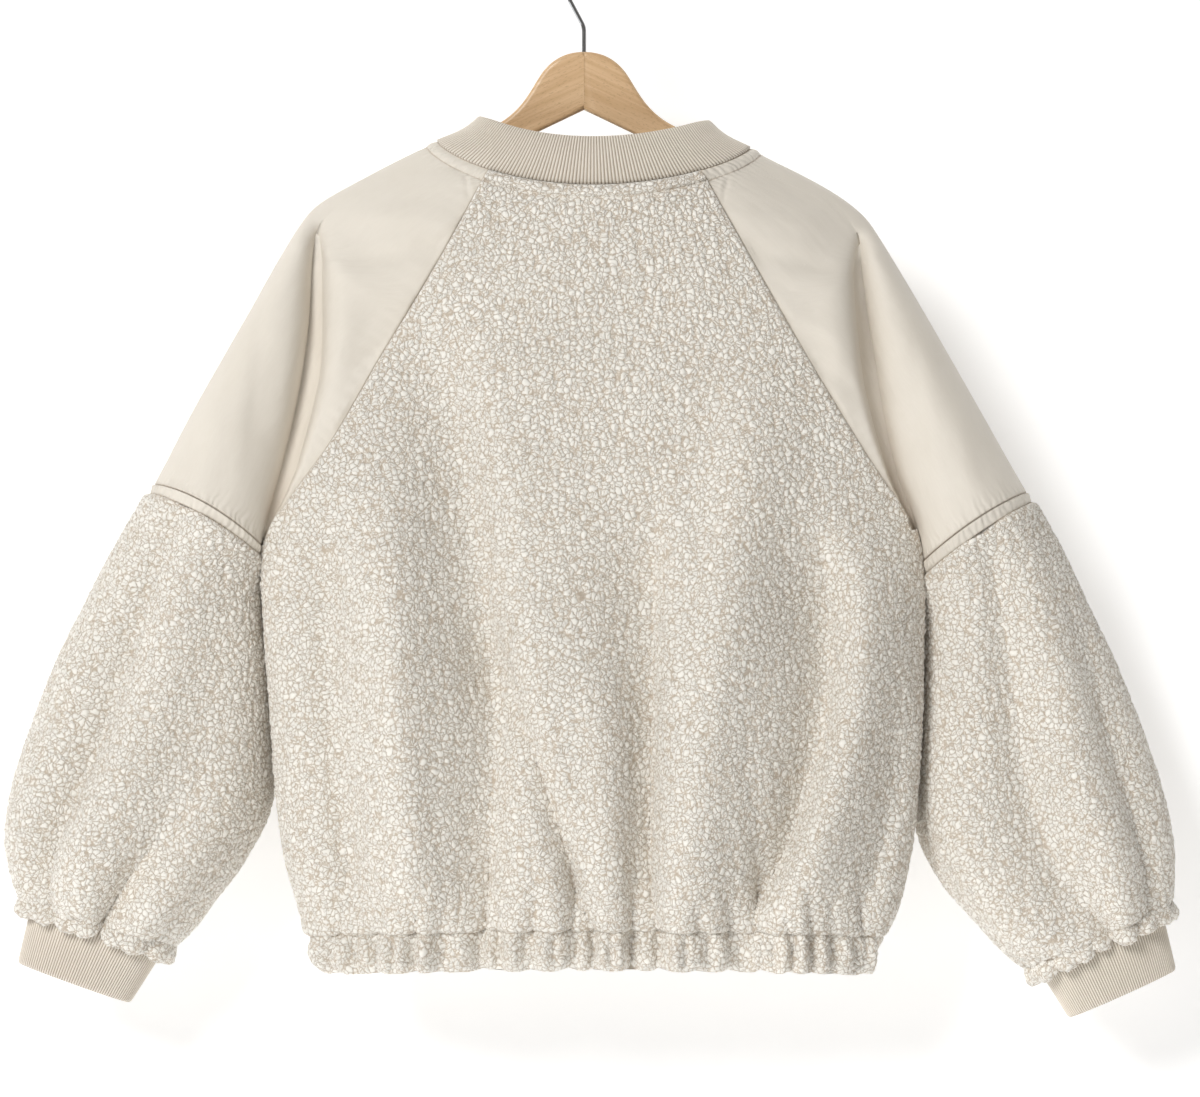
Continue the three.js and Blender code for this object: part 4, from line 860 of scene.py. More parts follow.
def curl_field(tree, place):
    """Nodes for the lumps at a place: their height and the creases between them, both from 0 to 1."""

    def bend(at, size, reach):
        drift = vector_maths(tree, "SUBTRACT", noise(tree, at, size, 1.0, "Color"), (0.5, 0.5, 0.5))
        return vector_maths(tree, "ADD", at, vector_maths(tree, "SCALE", drift, 2 * reach))

    bent = bend(bend(place, *BROAD_BEND), *FINE_BEND)
    near = add_node(tree, "ShaderNodeTexVoronoi", "nearest lump", feature="F1")
    second = add_node(tree, "ShaderNodeTexVoronoi", "second lump", feature="F2")
    for voronoi in (near, second):
        wire(tree, bent, voronoi.inputs["Vector"])
        voronoi.inputs["Scale"].default_value = 1 / CURL_SIZE
    distance = near.outputs["Distance"]
    fall = maths(tree, "MULTIPLY", maths(tree, "MULTIPLY", distance, distance), 0.9)
    dome = maths(tree, "SUBTRACT", 1.0, fall, clamp=True)
    gap = maths(tree, "SUBTRACT", second.outputs["Distance"], distance)
    strand = maths(tree, "ABSOLUTE", maths(tree, "SUBTRACT", noise(tree, bent, WORM_SIZE, 0.5), 0.5))

    def creases(gap_wide, strand_wide, share):
        winding = maths(tree, "MULTIPLY", remap(tree, strand, 0.0, strand_wide, 1.0, 0.0), share)
        return maths(tree, "MAXIMUM", remap(tree, gap, 0.0, gap_wide, 1.0, 0.0), winding)

    fold = creases(*FORM_CREASE)
    height = maths(tree, "MULTIPLY", dome, maths(tree, "SUBTRACT", 1.0, maths(tree, "MULTIPLY", fold, 0.5)))
    return height, creases(*SHADE_CREASE)


# %% Curls lift the cloth
PILE_LIFT = 0.0022  # from the bottom of a crease to the top of a lump, metres
PILE_RISES = (0.0004, 0.005)  # the curls grow over this distance from a seam, metres


def curl_lift():
    group = bpy.data.node_groups.new("lift curls", "GeometryNodeTree")
    group.interface.new_socket("Geometry", in_out="INPUT", socket_type="NodeSocketGeometry")
    group.interface.new_socket("Geometry", in_out="OUTPUT", socket_type="NodeSocketGeometry")
    start, end = add_node(group, "NodeGroupInput"), add_node(group, "NodeGroupOutput")

    def fact(name, kind):
        node = add_node(group, "GeometryNodeInputNamedAttribute", name, data_type=kind)
        node.inputs["Name"].default_value = name
        return node.outputs["Attribute"]

    height, _ = curl_field(group, fact("rest_place", "FLOAT_VECTOR"))
    open_cloth = remap(group, fact("from_seam", "FLOAT"), *PILE_RISES)
    free = maths(group, "MULTIPLY", open_cloth, fact("right_side", "FLOAT"))
    amount = maths(group, "MULTIPLY", free, PILE_LIFT)
    lift = maths(group, "MULTIPLY", maths(group, "SUBTRACT", height, 0.5), amount)
    move = add_node(group, "GeometryNodeSetPosition")
    group.links.new(start.outputs[0], move.inputs["Geometry"])
    normal = add_node(group, "GeometryNodeInputNormal").outputs[0]
    group.links.new(vector_maths(group, "SCALE", normal, lift), move.inputs["Offset"])
    group.links.new(move.outputs[0], end.inputs[0])
    return group


CURL_LIFT = curl_lift()


def raise_curls(piece):
    """Runs the geometry nodes on the piece and keeps the result as its mesh."""
    piece.modifiers.new("curls", "NODES").node_group = CURL_LIFT
    lifted = piece.evaluated_get(bpy.context.evaluated_depsgraph_get())
    settled = bpy.data.meshes.new_from_object(lifted)
    piece.modifiers.clear()
    piece.data = settled
    settled.name = piece.name
    return piece


# %% [markdown]
# ## Sherpa pieces
# At a seam the pile is caught in the stitches and lies almost flat; a few millimetres away it stands at
# its full height. That quarter-round edge is what makes a fur seam look soft.

# %% Sherpa panels
SHERPA = {"full": 4.8, "seam": 1.7, "sleeve_seam": 2.2, "backing": 1.5, "round": 5.5}  # mm


def pile_height(edge, seam=SHERPA["seam"]):
    u = np.clip(edge / SHERPA["round"], 0, 1)
    return seam + (SHERPA["full"] - seam) * np.sqrt(1 - (1 - u) ** 2)


def sherpa_piece(name, grid, closed=False, inside=(0, 0, -300), normal=None, seam=SHERPA["seam"]):
    edge, _ = seam_distances(grid, closed)
    piece = cloth_shell(name, grid, pile_height(edge, seam), SHERPA["backing"], closed, inside, normal)
    return on_jacket(raise_curls(piece), "sherpa", name.replace("sherpa_", ""))


sherpa_pieces = [sherpa_piece("sherpa_back_panel", grids["back"], normal=normals["back"])]
for side in SIDES:
    name = "front_" + side
    sherpa_pieces.append(sherpa_piece("sherpa_front_panel_" + side, grids[name], normal=normals[name]))

# %% [markdown]
# ## The lower sleeves
# Below the welt each sleeve is a balloon of sherpa that hangs forward, fullest near the wrist, and is
# gathered into the cuff. Long folds run down it; the tucks at the cuff are short, deep and uneven.

# %% Balloon sleeves
SLEEVE_FOLDS = {
    "left": table(
        "a0 s0 a1 s1 rise wide",
        (112, 0.8, 139, 9.6, -18.9, 14), (84, 1.4, 112, 9.4, 12.2, 17), (66, 5.5, 83, 9.9, -17.6, 11),
        (42, 4, 56, 9.6, 9.5, 14), (212, 2, 222, 9.6, -13.5, 17), (262, 1.6, 268, 9.5, 10.8, 20),
        (304, 3, 300, 9.6, -13.5, 16),
    ),
    "right": table(
        "a0 s0 a1 s1 rise wide",
        (96, 0.8, 74, 8.8, -18.9, 17), (36, 2.5, 38, 9, 9.5, 16), (124, 2, 112, 9.8, 10.8, 14),
        (148, 3, 140, 9.5, -12.2, 13), (90, 7, 98, 9.9, -12.2, 9), (214, 2, 226, 9.6, -13.5, 17),
        (258, 1.6, 262, 9.5, 10.8, 20), (306, 3, 298, 9.6, -13.5, 16),
    ),
}
CUFF_TUCKS = {
    "left": table(
        "a deep reach",
        (8, 4, 1.2), (36, 7, 1.7), (60, 4, 1.1), (84, 9, 2.4), (106, 4, 1.0), (128, 8, 2.1),
        (152, 4, 1.3), (178, 6, 1.6), (202, 4, 1.2), (230, 8, 2.0), (256, 4, 1.2), (282, 7, 1.7),
        (308, 4, 1.4), (334, 6, 1.2),
    ),
    "right": table(
        "a deep reach",
        (12, 4, 1.3), (38, 7, 1.8), (60, 4, 1.0), (79, 7, 1.5), (101, 9, 2.4), (124, 7, 2.0),
        (148, 4, 1.1), (172, 6, 1.6), (200, 4, 1.2), (226, 8, 2.0), (252, 4, 1.2), (280, 7, 1.7),
        (306, 4, 1.4), (332, 6, 1.2),
    ),
}
BALLOON_ROWS, ROLL_ROWS, BALLOON_COLUMNS = 154, 24, 264
CUFF_TOP, ROLL_FROM = 9.95, 9.2  # rings: where the sleeve is sewn to the cuff, and where its roll starts
CUFF_TUCK = {"wide": 6.5, "widens": 4.5}  # degrees
CUFF_PUFF = {"high": 2.4, "reach": 1.1}  # mm, rings
ROLL = {"out": 4.5, "down": 9.0, "uneven": 0.12}  # mm, and its share of the tucks' relief


def sleeve_relief(side, degrees, s):
    total = np.zeros_like(degrees)
    for a0, s0, a1, s1, rise, wide in zip(*SLEEVE_FOLDS[side].values()):
        share = (s - s0) / (s1 - s0)
        off = degrees - lerp(a0, a1, min(max(share, 0), 1))
        fade = math.sin(math.pi * min(max(0.12 + 0.88 * share, 0), 1) ** 1.5) ** 0.8
        total += rise * fade * np.exp(-((off / wide) ** 2))
    total *= 1 - float(smoothstep(s, 9.5, CUFF_TOP))
    for a, deep, reach in zip(*CUFF_TUCKS[side].values()):
        off = (degrees - a + 180) % 360 - 180
        up = (CUFF_TOP - s) / reach
        wide = CUFF_TUCK["wide"] + CUFF_TUCK["widens"] * up
        total -= deep * math.exp(-(up**1.3)) * np.exp(-((off / wide) ** 2))
    return total + CUFF_PUFF["high"] * math.exp(-(((CUFF_TOP - s) / CUFF_PUFF["reach"]) ** 2))


def even_rings(side, first, last, count):
    fine = np.linspace(first, last, 241)
    outer = [ring_point(side, s, np.array([math.pi]))[0] for s in fine]
    centres = [ring_frame(side, s)[0] for s in fine]
    run = run_along((np.array(outer) + np.array(centres)) / 2)
    return np.interp(np.linspace(0, run[-1], count), run, fine)


def balloon(side):
    """The sleeve's grid; its last rows roll over the cuff and turn back up to the seam."""
    rows, ring_normal = [], []
    centre_here, centre_next = ring_frame(side, CUFF_TOP)[0], ring_frame(side, 12)[0]
    down = unit(centre_next - centre_here)
    degrees = 360 * np.arange(BALLOON_COLUMNS) / BALLOON_COLUMNS
    hanging = even_rings(side, 1, ROLL_FROM, BALLOON_ROWS)
    rolled = even_rings(side, ROLL_FROM, CUFF_TOP, ROLL_ROWS)[1:]
    for s in (*hanging, *rolled):
        row = ring_row(side, s, BALLOON_COLUMNS)
        n = ring_normals(side, s, row)
        relief = sleeve_relief(side, degrees, s)
        turn = max(0, (s - ROLL_FROM) / (CUFF_TOP - ROLL_FROM)) * math.pi
        rising = 0.5 - 0.5 * math.cos(min(turn * 2, math.pi))
        roll = rising * (1 if turn < math.pi / 2 else math.sin(turn))
        puffed = 1 + ROLL["uneven"] * relief
        outwards = n * (relief + ROLL["out"] * roll)[:, None]
        rows.append(row + outwards + down * (ROLL["down"] * roll * puffed)[:, None])
        ring_normal.append(n)
    grid, ring_normal = np.array(rows), np.array(ring_normal)
    normal = grid_normals(grid, True, (SIGN[side] * 360, 20, -460))
    edge, _ = seam_distances(grid, True)
    return grid, unit(lerp(normal, ring_normal, np.exp(-((edge / 5) ** 2))[..., None]))


for side in SIDES:
    grid, normal = balloon(side)
    name, seam = "sherpa_sleeve_lower_" + side, SHERPA["sleeve_seam"]
    sherpa_pieces.append(sherpa_piece(name, grid, True, normal=normal, seam=seam))

# %% [markdown]
# ## Hem casing and neck bands
# The hem is the same sherpa turned over the elastic: a rounded roll with the body's tucks running into it.
# A narrow band of each panel's cloth shows between the panel and the collar.

# %% Hem casing
HEM_TALL, HEM_ROWS = 31, 25
HEM_TUCKED = 0.9  # the casing's top edge slips this far up under the pile, mm
HEM_SCALLOP = 0.35  # how far the lower edge rises where a tuck goes in
HEM_CARRY = 0.6  # the casing is drawn in, so the tucks fade over it more slowly, by this share
HEM_BY_ZIP = {"thin": 1.2, "into": (20, 30), "out": (ZIP_EDGE, ZIP_EDGE + 4)}  # it thins beside the zip, mm
HEM_ROLL = table(
    "v out into",
    (0, 1.4, 1.5), (0.1, 4.6, 2.2), (0.25, 6.2, 3.6), (0.5, 6.8, 4.4), (0.75, 5.6, 3.6), (0.92, 3.4, 2.2),
    (1, 1.4, 1.2),
)
RUCHE_LEAST, RUCHE_MOST = 0.4, 1.25  # the roll in a groove, mm, and on a puff, as a share of the table's


def ruching(x):
    """The elastic draws the casing into narrow grooves, 16 to 22 mm apart: 0 in a groove, 1 on a puff."""
    return np.abs(np.sin(np.pi * (x / 19 + 0.33 * np.sin(x / 31) + 0.17 * np.sin(x / 12.7)))) ** 1.3


def hem_piece(name, face, x0, x1, columns):
    shares = np.linspace(0, 1, HEM_ROWS)
    rows = []
    for v in shares:
        up = HEM_TUCKED if v == 0 else 0
        row = section_row(face, lambda x: hem_z(x) - HEM_TALL * v + up, x0, x1, columns)
        above = np.full(len(row), -HEM_TALL * v * HEM_CARRY)
        scallop = tuck_relief(BACK_TUCKS if face < 0 else FRONT_TUCKS, row[:, 0], above)
        row[:, 2] -= HEM_SCALLOP * v * v * scallop * smoothstep(np.abs(row[:, 1]), *BESIDE_SIDE)
        rows.append(gathered(face, row, above))
    grid = np.array(rows)
    normal = unit(grid * [0.12, 1, 0])
    edge, _ = seam_distances(grid, False)
    out = follow(HEM_ROLL, "v", "out", shares)[:, None] + 0 * edge
    into = follow(HEM_ROLL, "v", "into", shares)[:, None] + 0 * edge
    out = RUCHE_LEAST + RUCHE_MOST * out * ruching(grid[..., 0])
    if face > 0:
        x = np.abs(grid[..., 0])
        into = lerp(SHERPA["backing"], into, smoothstep(x, *HEM_BY_ZIP["into"]))
        out = lerp(HEM_BY_ZIP["thin"], out, smoothstep(x, *HEM_BY_ZIP["out"]))
    piece = cloth_shell("sherpa_" + name, grid, out, into, normals=normal, step=6)
    return on_jacket(raise_curls(piece), "sherpa", name)


sherpa_pieces.append(hem_piece("hem_casing_back", -1, *BACK_ENDS, BACK_COLUMNS))
for side in SIDES:
    sherpa_pieces.append(hem_piece("hem_casing_front_" + side, 1, *FRONT_ENDS[side], FRONT_COLUMNS))


# %% Neck bands
def ring_normal_at(ring, angles):
    low_ring, high_ring = neck_point(max(ring - 1, 0), angles), neck_point(min(ring + 1, 2), angles)
    along = neck_point(ring, angles + 0.01) - neck_point(ring, angles - 0.01)
    return unit(np.cross(along, high_ring - low_ring))


BAND = {"roll": 3.4, "edge": 2.5, "seam": 0.3}  # how far the folded band stands out, and its sewn edges, mm


def band_grid(angles, rows):
    share = np.linspace(0, 1, rows)[:, None, None]
    grid = lerp(neck_point(0, angles), neck_point(1, angles), share)
    return grid, unit(lerp(ring_normal_at(0, angles), ring_normal_at(1, angles), share))


def panel_angles(name, face):
    return angle_at(0, grids[name][-1][:, 0], face)


def sherpa_band(name, angles):
    grid, normal = band_grid(angles, 15)
    edge, _ = seam_distances(grid, False)
    round_ = np.sqrt(np.sin(np.pi * np.linspace(0, 1, len(grid))))[:, None]
    out = BAND["roll"] * round_ * smoothstep(edge, 0, BAND["edge"]) + pile_height(edge, BAND["seam"])
    piece = cloth_shell("sherpa_" + name, grid, out, SHERPA["backing"], normals=normal, step=7)
    return on_jacket(raise_curls(piece), "sherpa", name)


sherpa_pieces.append(sherpa_band("neck_band_back", panel_angles("back", -1)))
for side in SIDES:
    sherpa_pieces.append(sherpa_band("neck_band_front_" + side, panel_angles("front_" + side, 1)))
print("sherpa pieces:", len(sherpa_pieces), "with", sum(map(triangles, sherpa_pieces)), "triangles")


# %% [markdown]
# ## Smooth cloth: shoulders, welts and the bands by the neck
# The shoulders are a firm plain weave. It takes soft, long creases where the raglan seam pulls and short
# puckers where it is stitched to the gathered pieces.

# %% Smooth cloth pieces
WOVEN = {"out": 0.7, "into": 0.9}
CREASES = "x0 z0 x1 z1 rise wide0 wide1"
SHOULDER_CREASES = {
    "left": table(
        CREASES,
        (-104, -58, -196, -52, 2.2, 9, 12), (-108, -76, -200, -92, -2.6, 9, 7),
        (-128, -112, -206, -150, 1.8, 10, 7), (-150, -150, -216, -186, -1.8, 8, 7),
        (-262, -130, -272, -262, -2.4, 14, 9), (-296, -200, -312, -276, 2.2, 10, 10),
        (-234, -110, -252, -250, 2.0, 8, 8), (-196, -120, -204, -226, 2.2, 12, 9),
        (-102, -20, -98, -42, -1.3, 3, 2), (-99, -24, -96, -42, 1.0, 3, 3),
    ),
    "right": table(
        CREASES,
        (106, -58, 190, -58, 2.2, 9, 12), (112, -80, 196, -98, -2.6, 9, 7),
        (138, -124, 204, -158, 1.8, 10, 7), (160, -160, 210, -196, -1.8, 8, 7),
        (252, -150, 264, -270, -2.4, 9, 14), (288, -206, 306, -280, 2.2, 10, 10),
        (226, -110, 244, -262, 2.0, 8, 8), (190, -130, 200, -236, 2.2, 9, 12),
        (108, -22, 102, -46, -1.1, 2, 3), (103, -26, 99, -44, 0.9, 3, 3),
    ),
}
PUCKERS = {"pitch": 11.0, "deep": 0.7, "reach": 12.0, "fine": 7.0}  # mm
RAGLAN_PUCKER = 0.6  # the puckers at the raglan seams, as a share of those at the neck and the welt
VALLEY_SHADE = {"wide": 6, "from": 80, "full": 170}  # where the fold below the arm gets painted shade, mm


def crease_relief(creases, x, z):
    """Each crease is a soft ridge or trough along a line from x0, z0 to x1, z1."""
    total = np.zeros_like(x)
    for x0, z0, x1, z1, rise, wide0, wide1 in zip(*creases.values()):
        length = math.hypot(x1 - x0, z1 - z0)
        along = ((x - x0) * (x1 - x0) + (z - z0) * (z1 - z0)) / length**2
        off = ((x - x0) * (z1 - z0) - (z - z0) * (x1 - x0)) / length
        ends = smoothstep(along, -0.15, 0.25) * (1 - smoothstep(along, 0.75, 1.15))
        total += rise * ends * np.exp(-((off / np.where(off < 0, wide0, wide1)) ** 2))
    return total


def ripples(run, pitch, wander, slow):
    """Uneven waves along a seam: their pitch and the slower wave that shifts them, mm."""
    return np.sin(2 * np.pi * run / pitch + wander * np.sin(run / slow))


def run_past(grid, after):
    """Length along each row up to the next column; after is the column that follows the last."""
    return np.cumsum(np.linalg.norm(np.diff(grid, axis=1, append=after), axis=2), axis=1)


def pucker_relief(edge, run):
    """Small tucks square to a seam: edge is the distance from it and run the place along it."""
    beat = ripples(run, PUCKERS["pitch"], 1.7, 17.0) + 0.5 * np.sin(run / 5.3 + 2)
    return PUCKERS["deep"] * beat * np.exp(-edge / PUCKERS["reach"])


WELT = {"from": 0.06, "out": 1.2, "roll": 1.3, "into": 1.2}  # its first ring, then mm
EDGE_PUCKER = 0.8  # how strongly the narrow strips show the fine puckers
stitch_rows = []  # where topstitching runs: a grid, its normals, its edge row and the next row in


def shoulder_piece(side):
    name = "shoulder_" + side
    grid, normal = grids[name], normals[name]
    mirrored = grid[..., 0] + SIGN[side] * 3 * (grid[..., 1] > 0)
    relief = crease_relief(SHOULDER_CREASES[side], mirrored, grid[..., 2])
    across, up = run_along(grid, axis=1), run_along(grid)
    relief += pucker_relief(up, across) + RAGLAN_PUCKER * pucker_relief(across, up)
    relief += RAGLAN_PUCKER * pucker_relief(across[:, -1:] - across, up)
    edge, _ = seam_distances(grid, False)
    draped = grid + normal * (relief * smoothstep(edge, 0, 5))[..., None]
    x, z = np.abs(grid[..., 0]), grid[..., 2]
    off = (x - np.interp(z, VALLEY[side]["z"], VALLEY[side]["x"])) / VALLEY_SHADE["wide"]
    # valley masks the painted shade in the fold below the arm
    facts = {
        "pucker": np.exp(-np.minimum(up, up[-1:] - up) / PUCKERS["fine"]),
        "valley": np.exp(-(off**2)) * smoothstep(-z, VALLEY_SHADE["from"], VALLEY_SHADE["full"]),
    }
    name = "woven_sleeve_yoke_" + side
    piece = cloth_shell(name, draped, WOVEN["out"], WOVEN["into"], normals=normal, step=4, extra=facts)
    stitch_rows.extend([(draped, normal, 0, 1), (draped, normal, -1, -2)])
    return on_jacket(piece, "shell", "sleeve_yoke_" + side)


def welt_piece(side):
    shares = np.linspace(0, 1, 11)
    rings = lerp(WELT["from"], 1, shares)
    grid = np.array([ring_row(side, s, 252) for s in rings])
    normal = np.array([ring_normals(side, s, row) for s, row in zip(rings, grid)])
    round_ = np.sin(np.pi * shares)[:, None]
    run = run_past(grid, grid[:, :1])
    out = WELT["out"] + WELT["roll"] * np.sqrt(round_) + 0.35 * ripples(run, 9, 2, 23) * round_
    name, facts = "woven_sleeve_welt_" + side, {"pucker": EDGE_PUCKER}
    piece = cloth_shell(name, grid, out, WELT["into"], closed=True, normals=normal, step=5, extra=facts)
    return on_jacket(piece, "shell", "sleeve_welt_" + side)


def shell_neck_angles(side, count):
    shoulder = SIGN[side] * math.pi / 2
    back = neck_angles(corner_angle(side, -1), shoulder, count)
    return np.concatenate([back, neck_angles(shoulder, corner_angle(side, 1), count)[1:]])


def woven_band(side):
    grid, normal = band_grid(shell_neck_angles(side, 60), 9)
    round_ = np.sin(np.pi * np.linspace(0, 1, len(grid)))[:, None]
    run = run_past(grid, grid[:, -1:])
    out = WOVEN["out"] + WELT["roll"] * round_ + 0.3 * ripples(run, 8, 1.5, 19) * round_
    name, facts = "woven_neck_band_" + side, {"pucker": EDGE_PUCKER}
    piece = cloth_shell(name, grid, out, WOVEN["into"], normals=normal, step=4, extra=facts)
    return on_jacket(piece, "shell", "neck_band_" + side)


woven_pieces = [make(side) for make in (shoulder_piece, welt_piece, woven_band) for side in SIDES]

# %% [markdown]
# ## Topstitching
# Where the shoulder meets the collar's band and the welt, a row of stitches runs just beside the seam.
# Each stitch is a short rounded piece of thread, and all of them are joined in one mesh.

# %% Topstitching
STITCH = {"pitch": 3.2, "long": 2.2, "thick": 0.5, "inset": 1.5}


def between(at, run, points):
    """A point at this length along a chain, or its normal there."""
    return np.array([np.interp(at, run, points[:, k]) for k in range(3)])


def stitches(rows):
    turn = 2 * np.pi * np.arange(5) / 5
    stations = [(-0.5, 0.4), (-0.34, 1.0), (0.34, 1.0), (0.5, 0.4)]
    points, faces = [], []
    for grid, normal, edge, inner in rows:
        inward = unit(grid[inner] - grid[edge])
        line = grid[edge] + inward * STITCH["inset"] + normal[edge] * (WOVEN["out"] + 0.1)
        run = run_along(line)
        for at in np.arange(4, run[-1] - 4, STITCH["pitch"]):
            place, up = between(at, run, line), between(at, run, normal[edge])
            along = unit(between(at + 0.5, run, line) - place)
            side_way = unit(np.cross(along, up))
            base = len(points)
            for share, size in stations:
                middle = place + along * share * STITCH["long"]
                radius = size * STITCH["thick"] / 2
                points += [middle + (math.cos(a) * side_way + math.sin(a) * up) * radius for a in turn]
            faces += ring_faces(base, len(stations), len(turn))
    points = in_frame(points)
    return solid_piece("topstitching", points, faces, {"rest_place": points})


topstitching = on_jacket(stitches(stitch_rows), "shell")

# %% [markdown]
# ## Rib knit: collar and cuffs
# Rib knit is columns of stitches that stand up in turn, so it stretches and springs back. The ridges are
# modelled, because they catch the light one by one; the single stitches are too small and are left to
# the material.

# %% Rib pieces
COLLAR_RIBS, CUFF_RIBS = 228, 114
RIB = {"out": 1.7, "into": 1.6, "ridge": 0.9}


def ridges(columns, per_rib):
    """Rounded ridges with narrow grooves, one height for each column."""
    phase = (np.arange(columns) % per_rib) / per_rib
    return RIB["ridge"] * (np.abs(np.sin(np.pi * phase)) ** 0.7 - 0.5)


def collar_piece():
    per_rib = 5
    columns = COLLAR_RIBS * per_rib
    angles = neck_angles(-zip_angle(1), zip_angle(1), columns)
    top, low = neck_point(2, angles), neck_point(1, angles) + [0, 0, 0.25]
    top[0, 0], top[-1, 0] = -ZIP_EDGE, ZIP_EDGE
    top[:, 2] -= 3.5 * np.abs(np.sin(angles)) ** 16
    shares = np.concatenate([np.linspace(0, 0.9, 12), [0.94, 0.97, 0.99, 1.0]])
    waist = 0.0002 * low[:, 0] ** 2
    bulge = np.stack([-np.sign(low[:, 0]) * 0.6 * waist, low[:, 1] * 0.03, 1 - waist], axis=1)
    grid = np.array([lerp(low, top, v) + bulge * math.sin(math.pi * v**1.16) for v in shares])
    fold = np.sqrt(np.maximum(0, 1 - (np.maximum(0, shares - 0.9) / 0.1) ** 2))[:, None]
    normal = grid_normals(grid, False, (0, 0, -30))
    out = 0.2 + (RIB["out"] + ridges(columns + 1, per_rib)[None, :]) * (0.12 + 0.88 * fold)
    into = np.broadcast_to(0.2 + RIB["into"] * (0.12 + 0.88 * fold), out.shape)
    place = np.arange(columns + 1) / per_rib
    piece = cloth_shell("rib_collar", grid, out, into, normals=normal, step=5, extra={"rib_place": place})
    return on_jacket(piece, "rib", "collar")


def cuff_piece(side):
    per_rib = 6
    columns = CUFF_RIBS * per_rib
    shares = np.concatenate([[0, 0.02, 0.05], np.linspace(0.1, 0.9, 9), [0.95, 0.98, 1.0]])
    first, last = ring_row(side, 10, columns), ring_row(side, 12, columns)
    grid = np.array([lerp(first, last, v) for v in shares])
    first_normal, last_normal = ring_normals(side, 10, first), ring_normals(side, 12, last)
    normal = np.array([unit(lerp(first_normal, last_normal, v)) for v in shares])
    edge = np.sqrt(np.maximum(0, 1 - (np.maximum(0, shares - 0.93) / 0.07) ** 2))[:, None]
    out = (RIB["out"] + ridges(columns, per_rib)[None, :]) * (0.25 + 0.75 * edge)
    into = RIB["into"] * (0.25 + 0.75 * edge)
    place = np.arange(columns) / per_rib
    name, facts = "rib_cuff_" + side, {"rib_place": place}
    piece = cloth_shell(name, grid, out, into, closed=True, normals=normal, extra=facts)
    return on_jacket(piece, "rib", "cuff_" + side)


rib_pieces = [collar_piece(), *[cuff_piece(side) for side in SIDES]]

# %% [markdown]
# ## The zip
# Two tapes carry a row of teeth each, and the teeth mesh along the centre front. The slider stays at the
# top, so the zip is closed.

# %% Zip
ZIP = {"tape": 13, "behind": 3, "half": 0.5, "pitch": 3.0}
ZIP_HEIGHTS = [HEM_Z + HEM_ARCH - HEM_TALL, -628, -590, -540, -480, -420, -360, -300, -240, -180, -140]
ZIP_HEIGHTS = np.array(ZIP_HEIGHTS, float)


def zip_line(count):
    body = np.stack([0 * ZIP_HEIGHTS, body_y(1, 0 * ZIP_HEIGHTS, ZIP_HEIGHTS), ZIP_HEIGHTS], axis=1)
    neck = np.array([neck_point(ring, np.array(math.pi)) * [0, 1, 1] for ring in range(3)])
    line = evenly(np.concatenate([body, neck]), count)
    up = unit(np.gradient(line, axis=0))
    ahead = unit(np.cross(up, [-1.0, 0, 0]))
    ahead *= np.sign(ahead[len(ahead) // 2, 1])
    return line - ahead * ZIP["behind"], up, ahead


def zip_tape():
    line, _, ahead = zip_line(230)
    across = np.linspace(-ZIP["tape"], ZIP["tape"], 25)
    grid = line[:, None, :] + across[None, :, None] * np.array([1.0, 0, 0])
    normal = np.repeat(ahead[:, None, :], len(across), axis=1)
    cord = 0.9 * np.exp(-((np.abs(across) - 3.4) / 0.9) ** 2)
    piece = cloth_shell("zip_tape", grid, ZIP["half"] + cord[None, :], ZIP["half"], normals=normal, step=6)
    return on_jacket(piece, "zip_tape", "zip")


def zip_teeth():
    """One tooth is a small bevelled block with a rounded head; the two rows are set half a pitch apart."""
    line, up, ahead = zip_line(3000)
    length = run_along(line)
    profile = np.array([(-1.0, 0.62), (2.2, 0.5), (2.7, 0.8), (3.1, 0.8), (3.4, 0.4)])
    outline = np.concatenate([profile, (profile * [1, -1])[::-1]])
    layers = ((0.72, 0.45), (1.0, 0.65), (1.0, 1.55), (0.72, 1.75))
    points, faces = [], []
    for sign, phase in ((-1, 0.0), (1, 0.5)):
        for at in np.arange(4 + phase * ZIP["pitch"], length[-1] - 14, ZIP["pitch"]):
            k = int(np.searchsorted(length, at))
            base = len(points)
            for scale, height in layers:
                for a, b in outline:
                    x = sign * (2.9 - (a + 1.0) * scale)
                    points.append(line[k] + np.array([x, 0, 0]) + up[k] * (b * scale) + ahead[k] * height)
            faces += ring_faces(base, len(layers), len(outline))
    points = in_frame(points)
    piece = solid_piece("zip_teeth", points, faces, {"rest_place": points})
    return on_jacket(piece, "zip_tape")


zip_pieces = [zip_tape(), zip_teeth()]


# %% [markdown]
# ## Slider, pull tab and hook
# The slider and its tab are cast and tumbled, so every edge is soft. A copy of each solid with its edges
# rounded shows that. The tab turns on the slider's pin, so it rides on its own body.

# %% Metal pieces


def softened(name, node, body, width, segments=3):
    """A copy of a solid with rounded edges, which stands for it."""
    piece = bpy.data.objects.new(name, nodes[node].data.copy())
    bpy.context.scene.collection.objects.link(piece)
    work = bmesh.new()
    work.from_mesh(piece.data)
    bmesh.ops.remove_doubles(work, verts=work.verts, dist=1e-6)
    bmesh.ops.dissolve_limit(work, angle_limit=0.01, verts=work.verts, edges=work.edges)
    work.to_mesh(piece.data)
    work.free()
    bevel = piece.modifiers.new("soft edges", "BEVEL")
    bevel.width, bevel.segments = width, segments
    bevel.limit_method, bevel.angle_limit = "ANGLE", math.radians(40)
    piece.data.shade_smooth()
    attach(piece, body)
    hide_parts(node)
    return piece


slider = softened("slider", "zip_slider", BODY, 0.0004)
pull_tab = softened("pull_tab", "zip_pull", "zip_pull", 0.0003)
print("metal pieces:", slider.name, pull_tab.name)

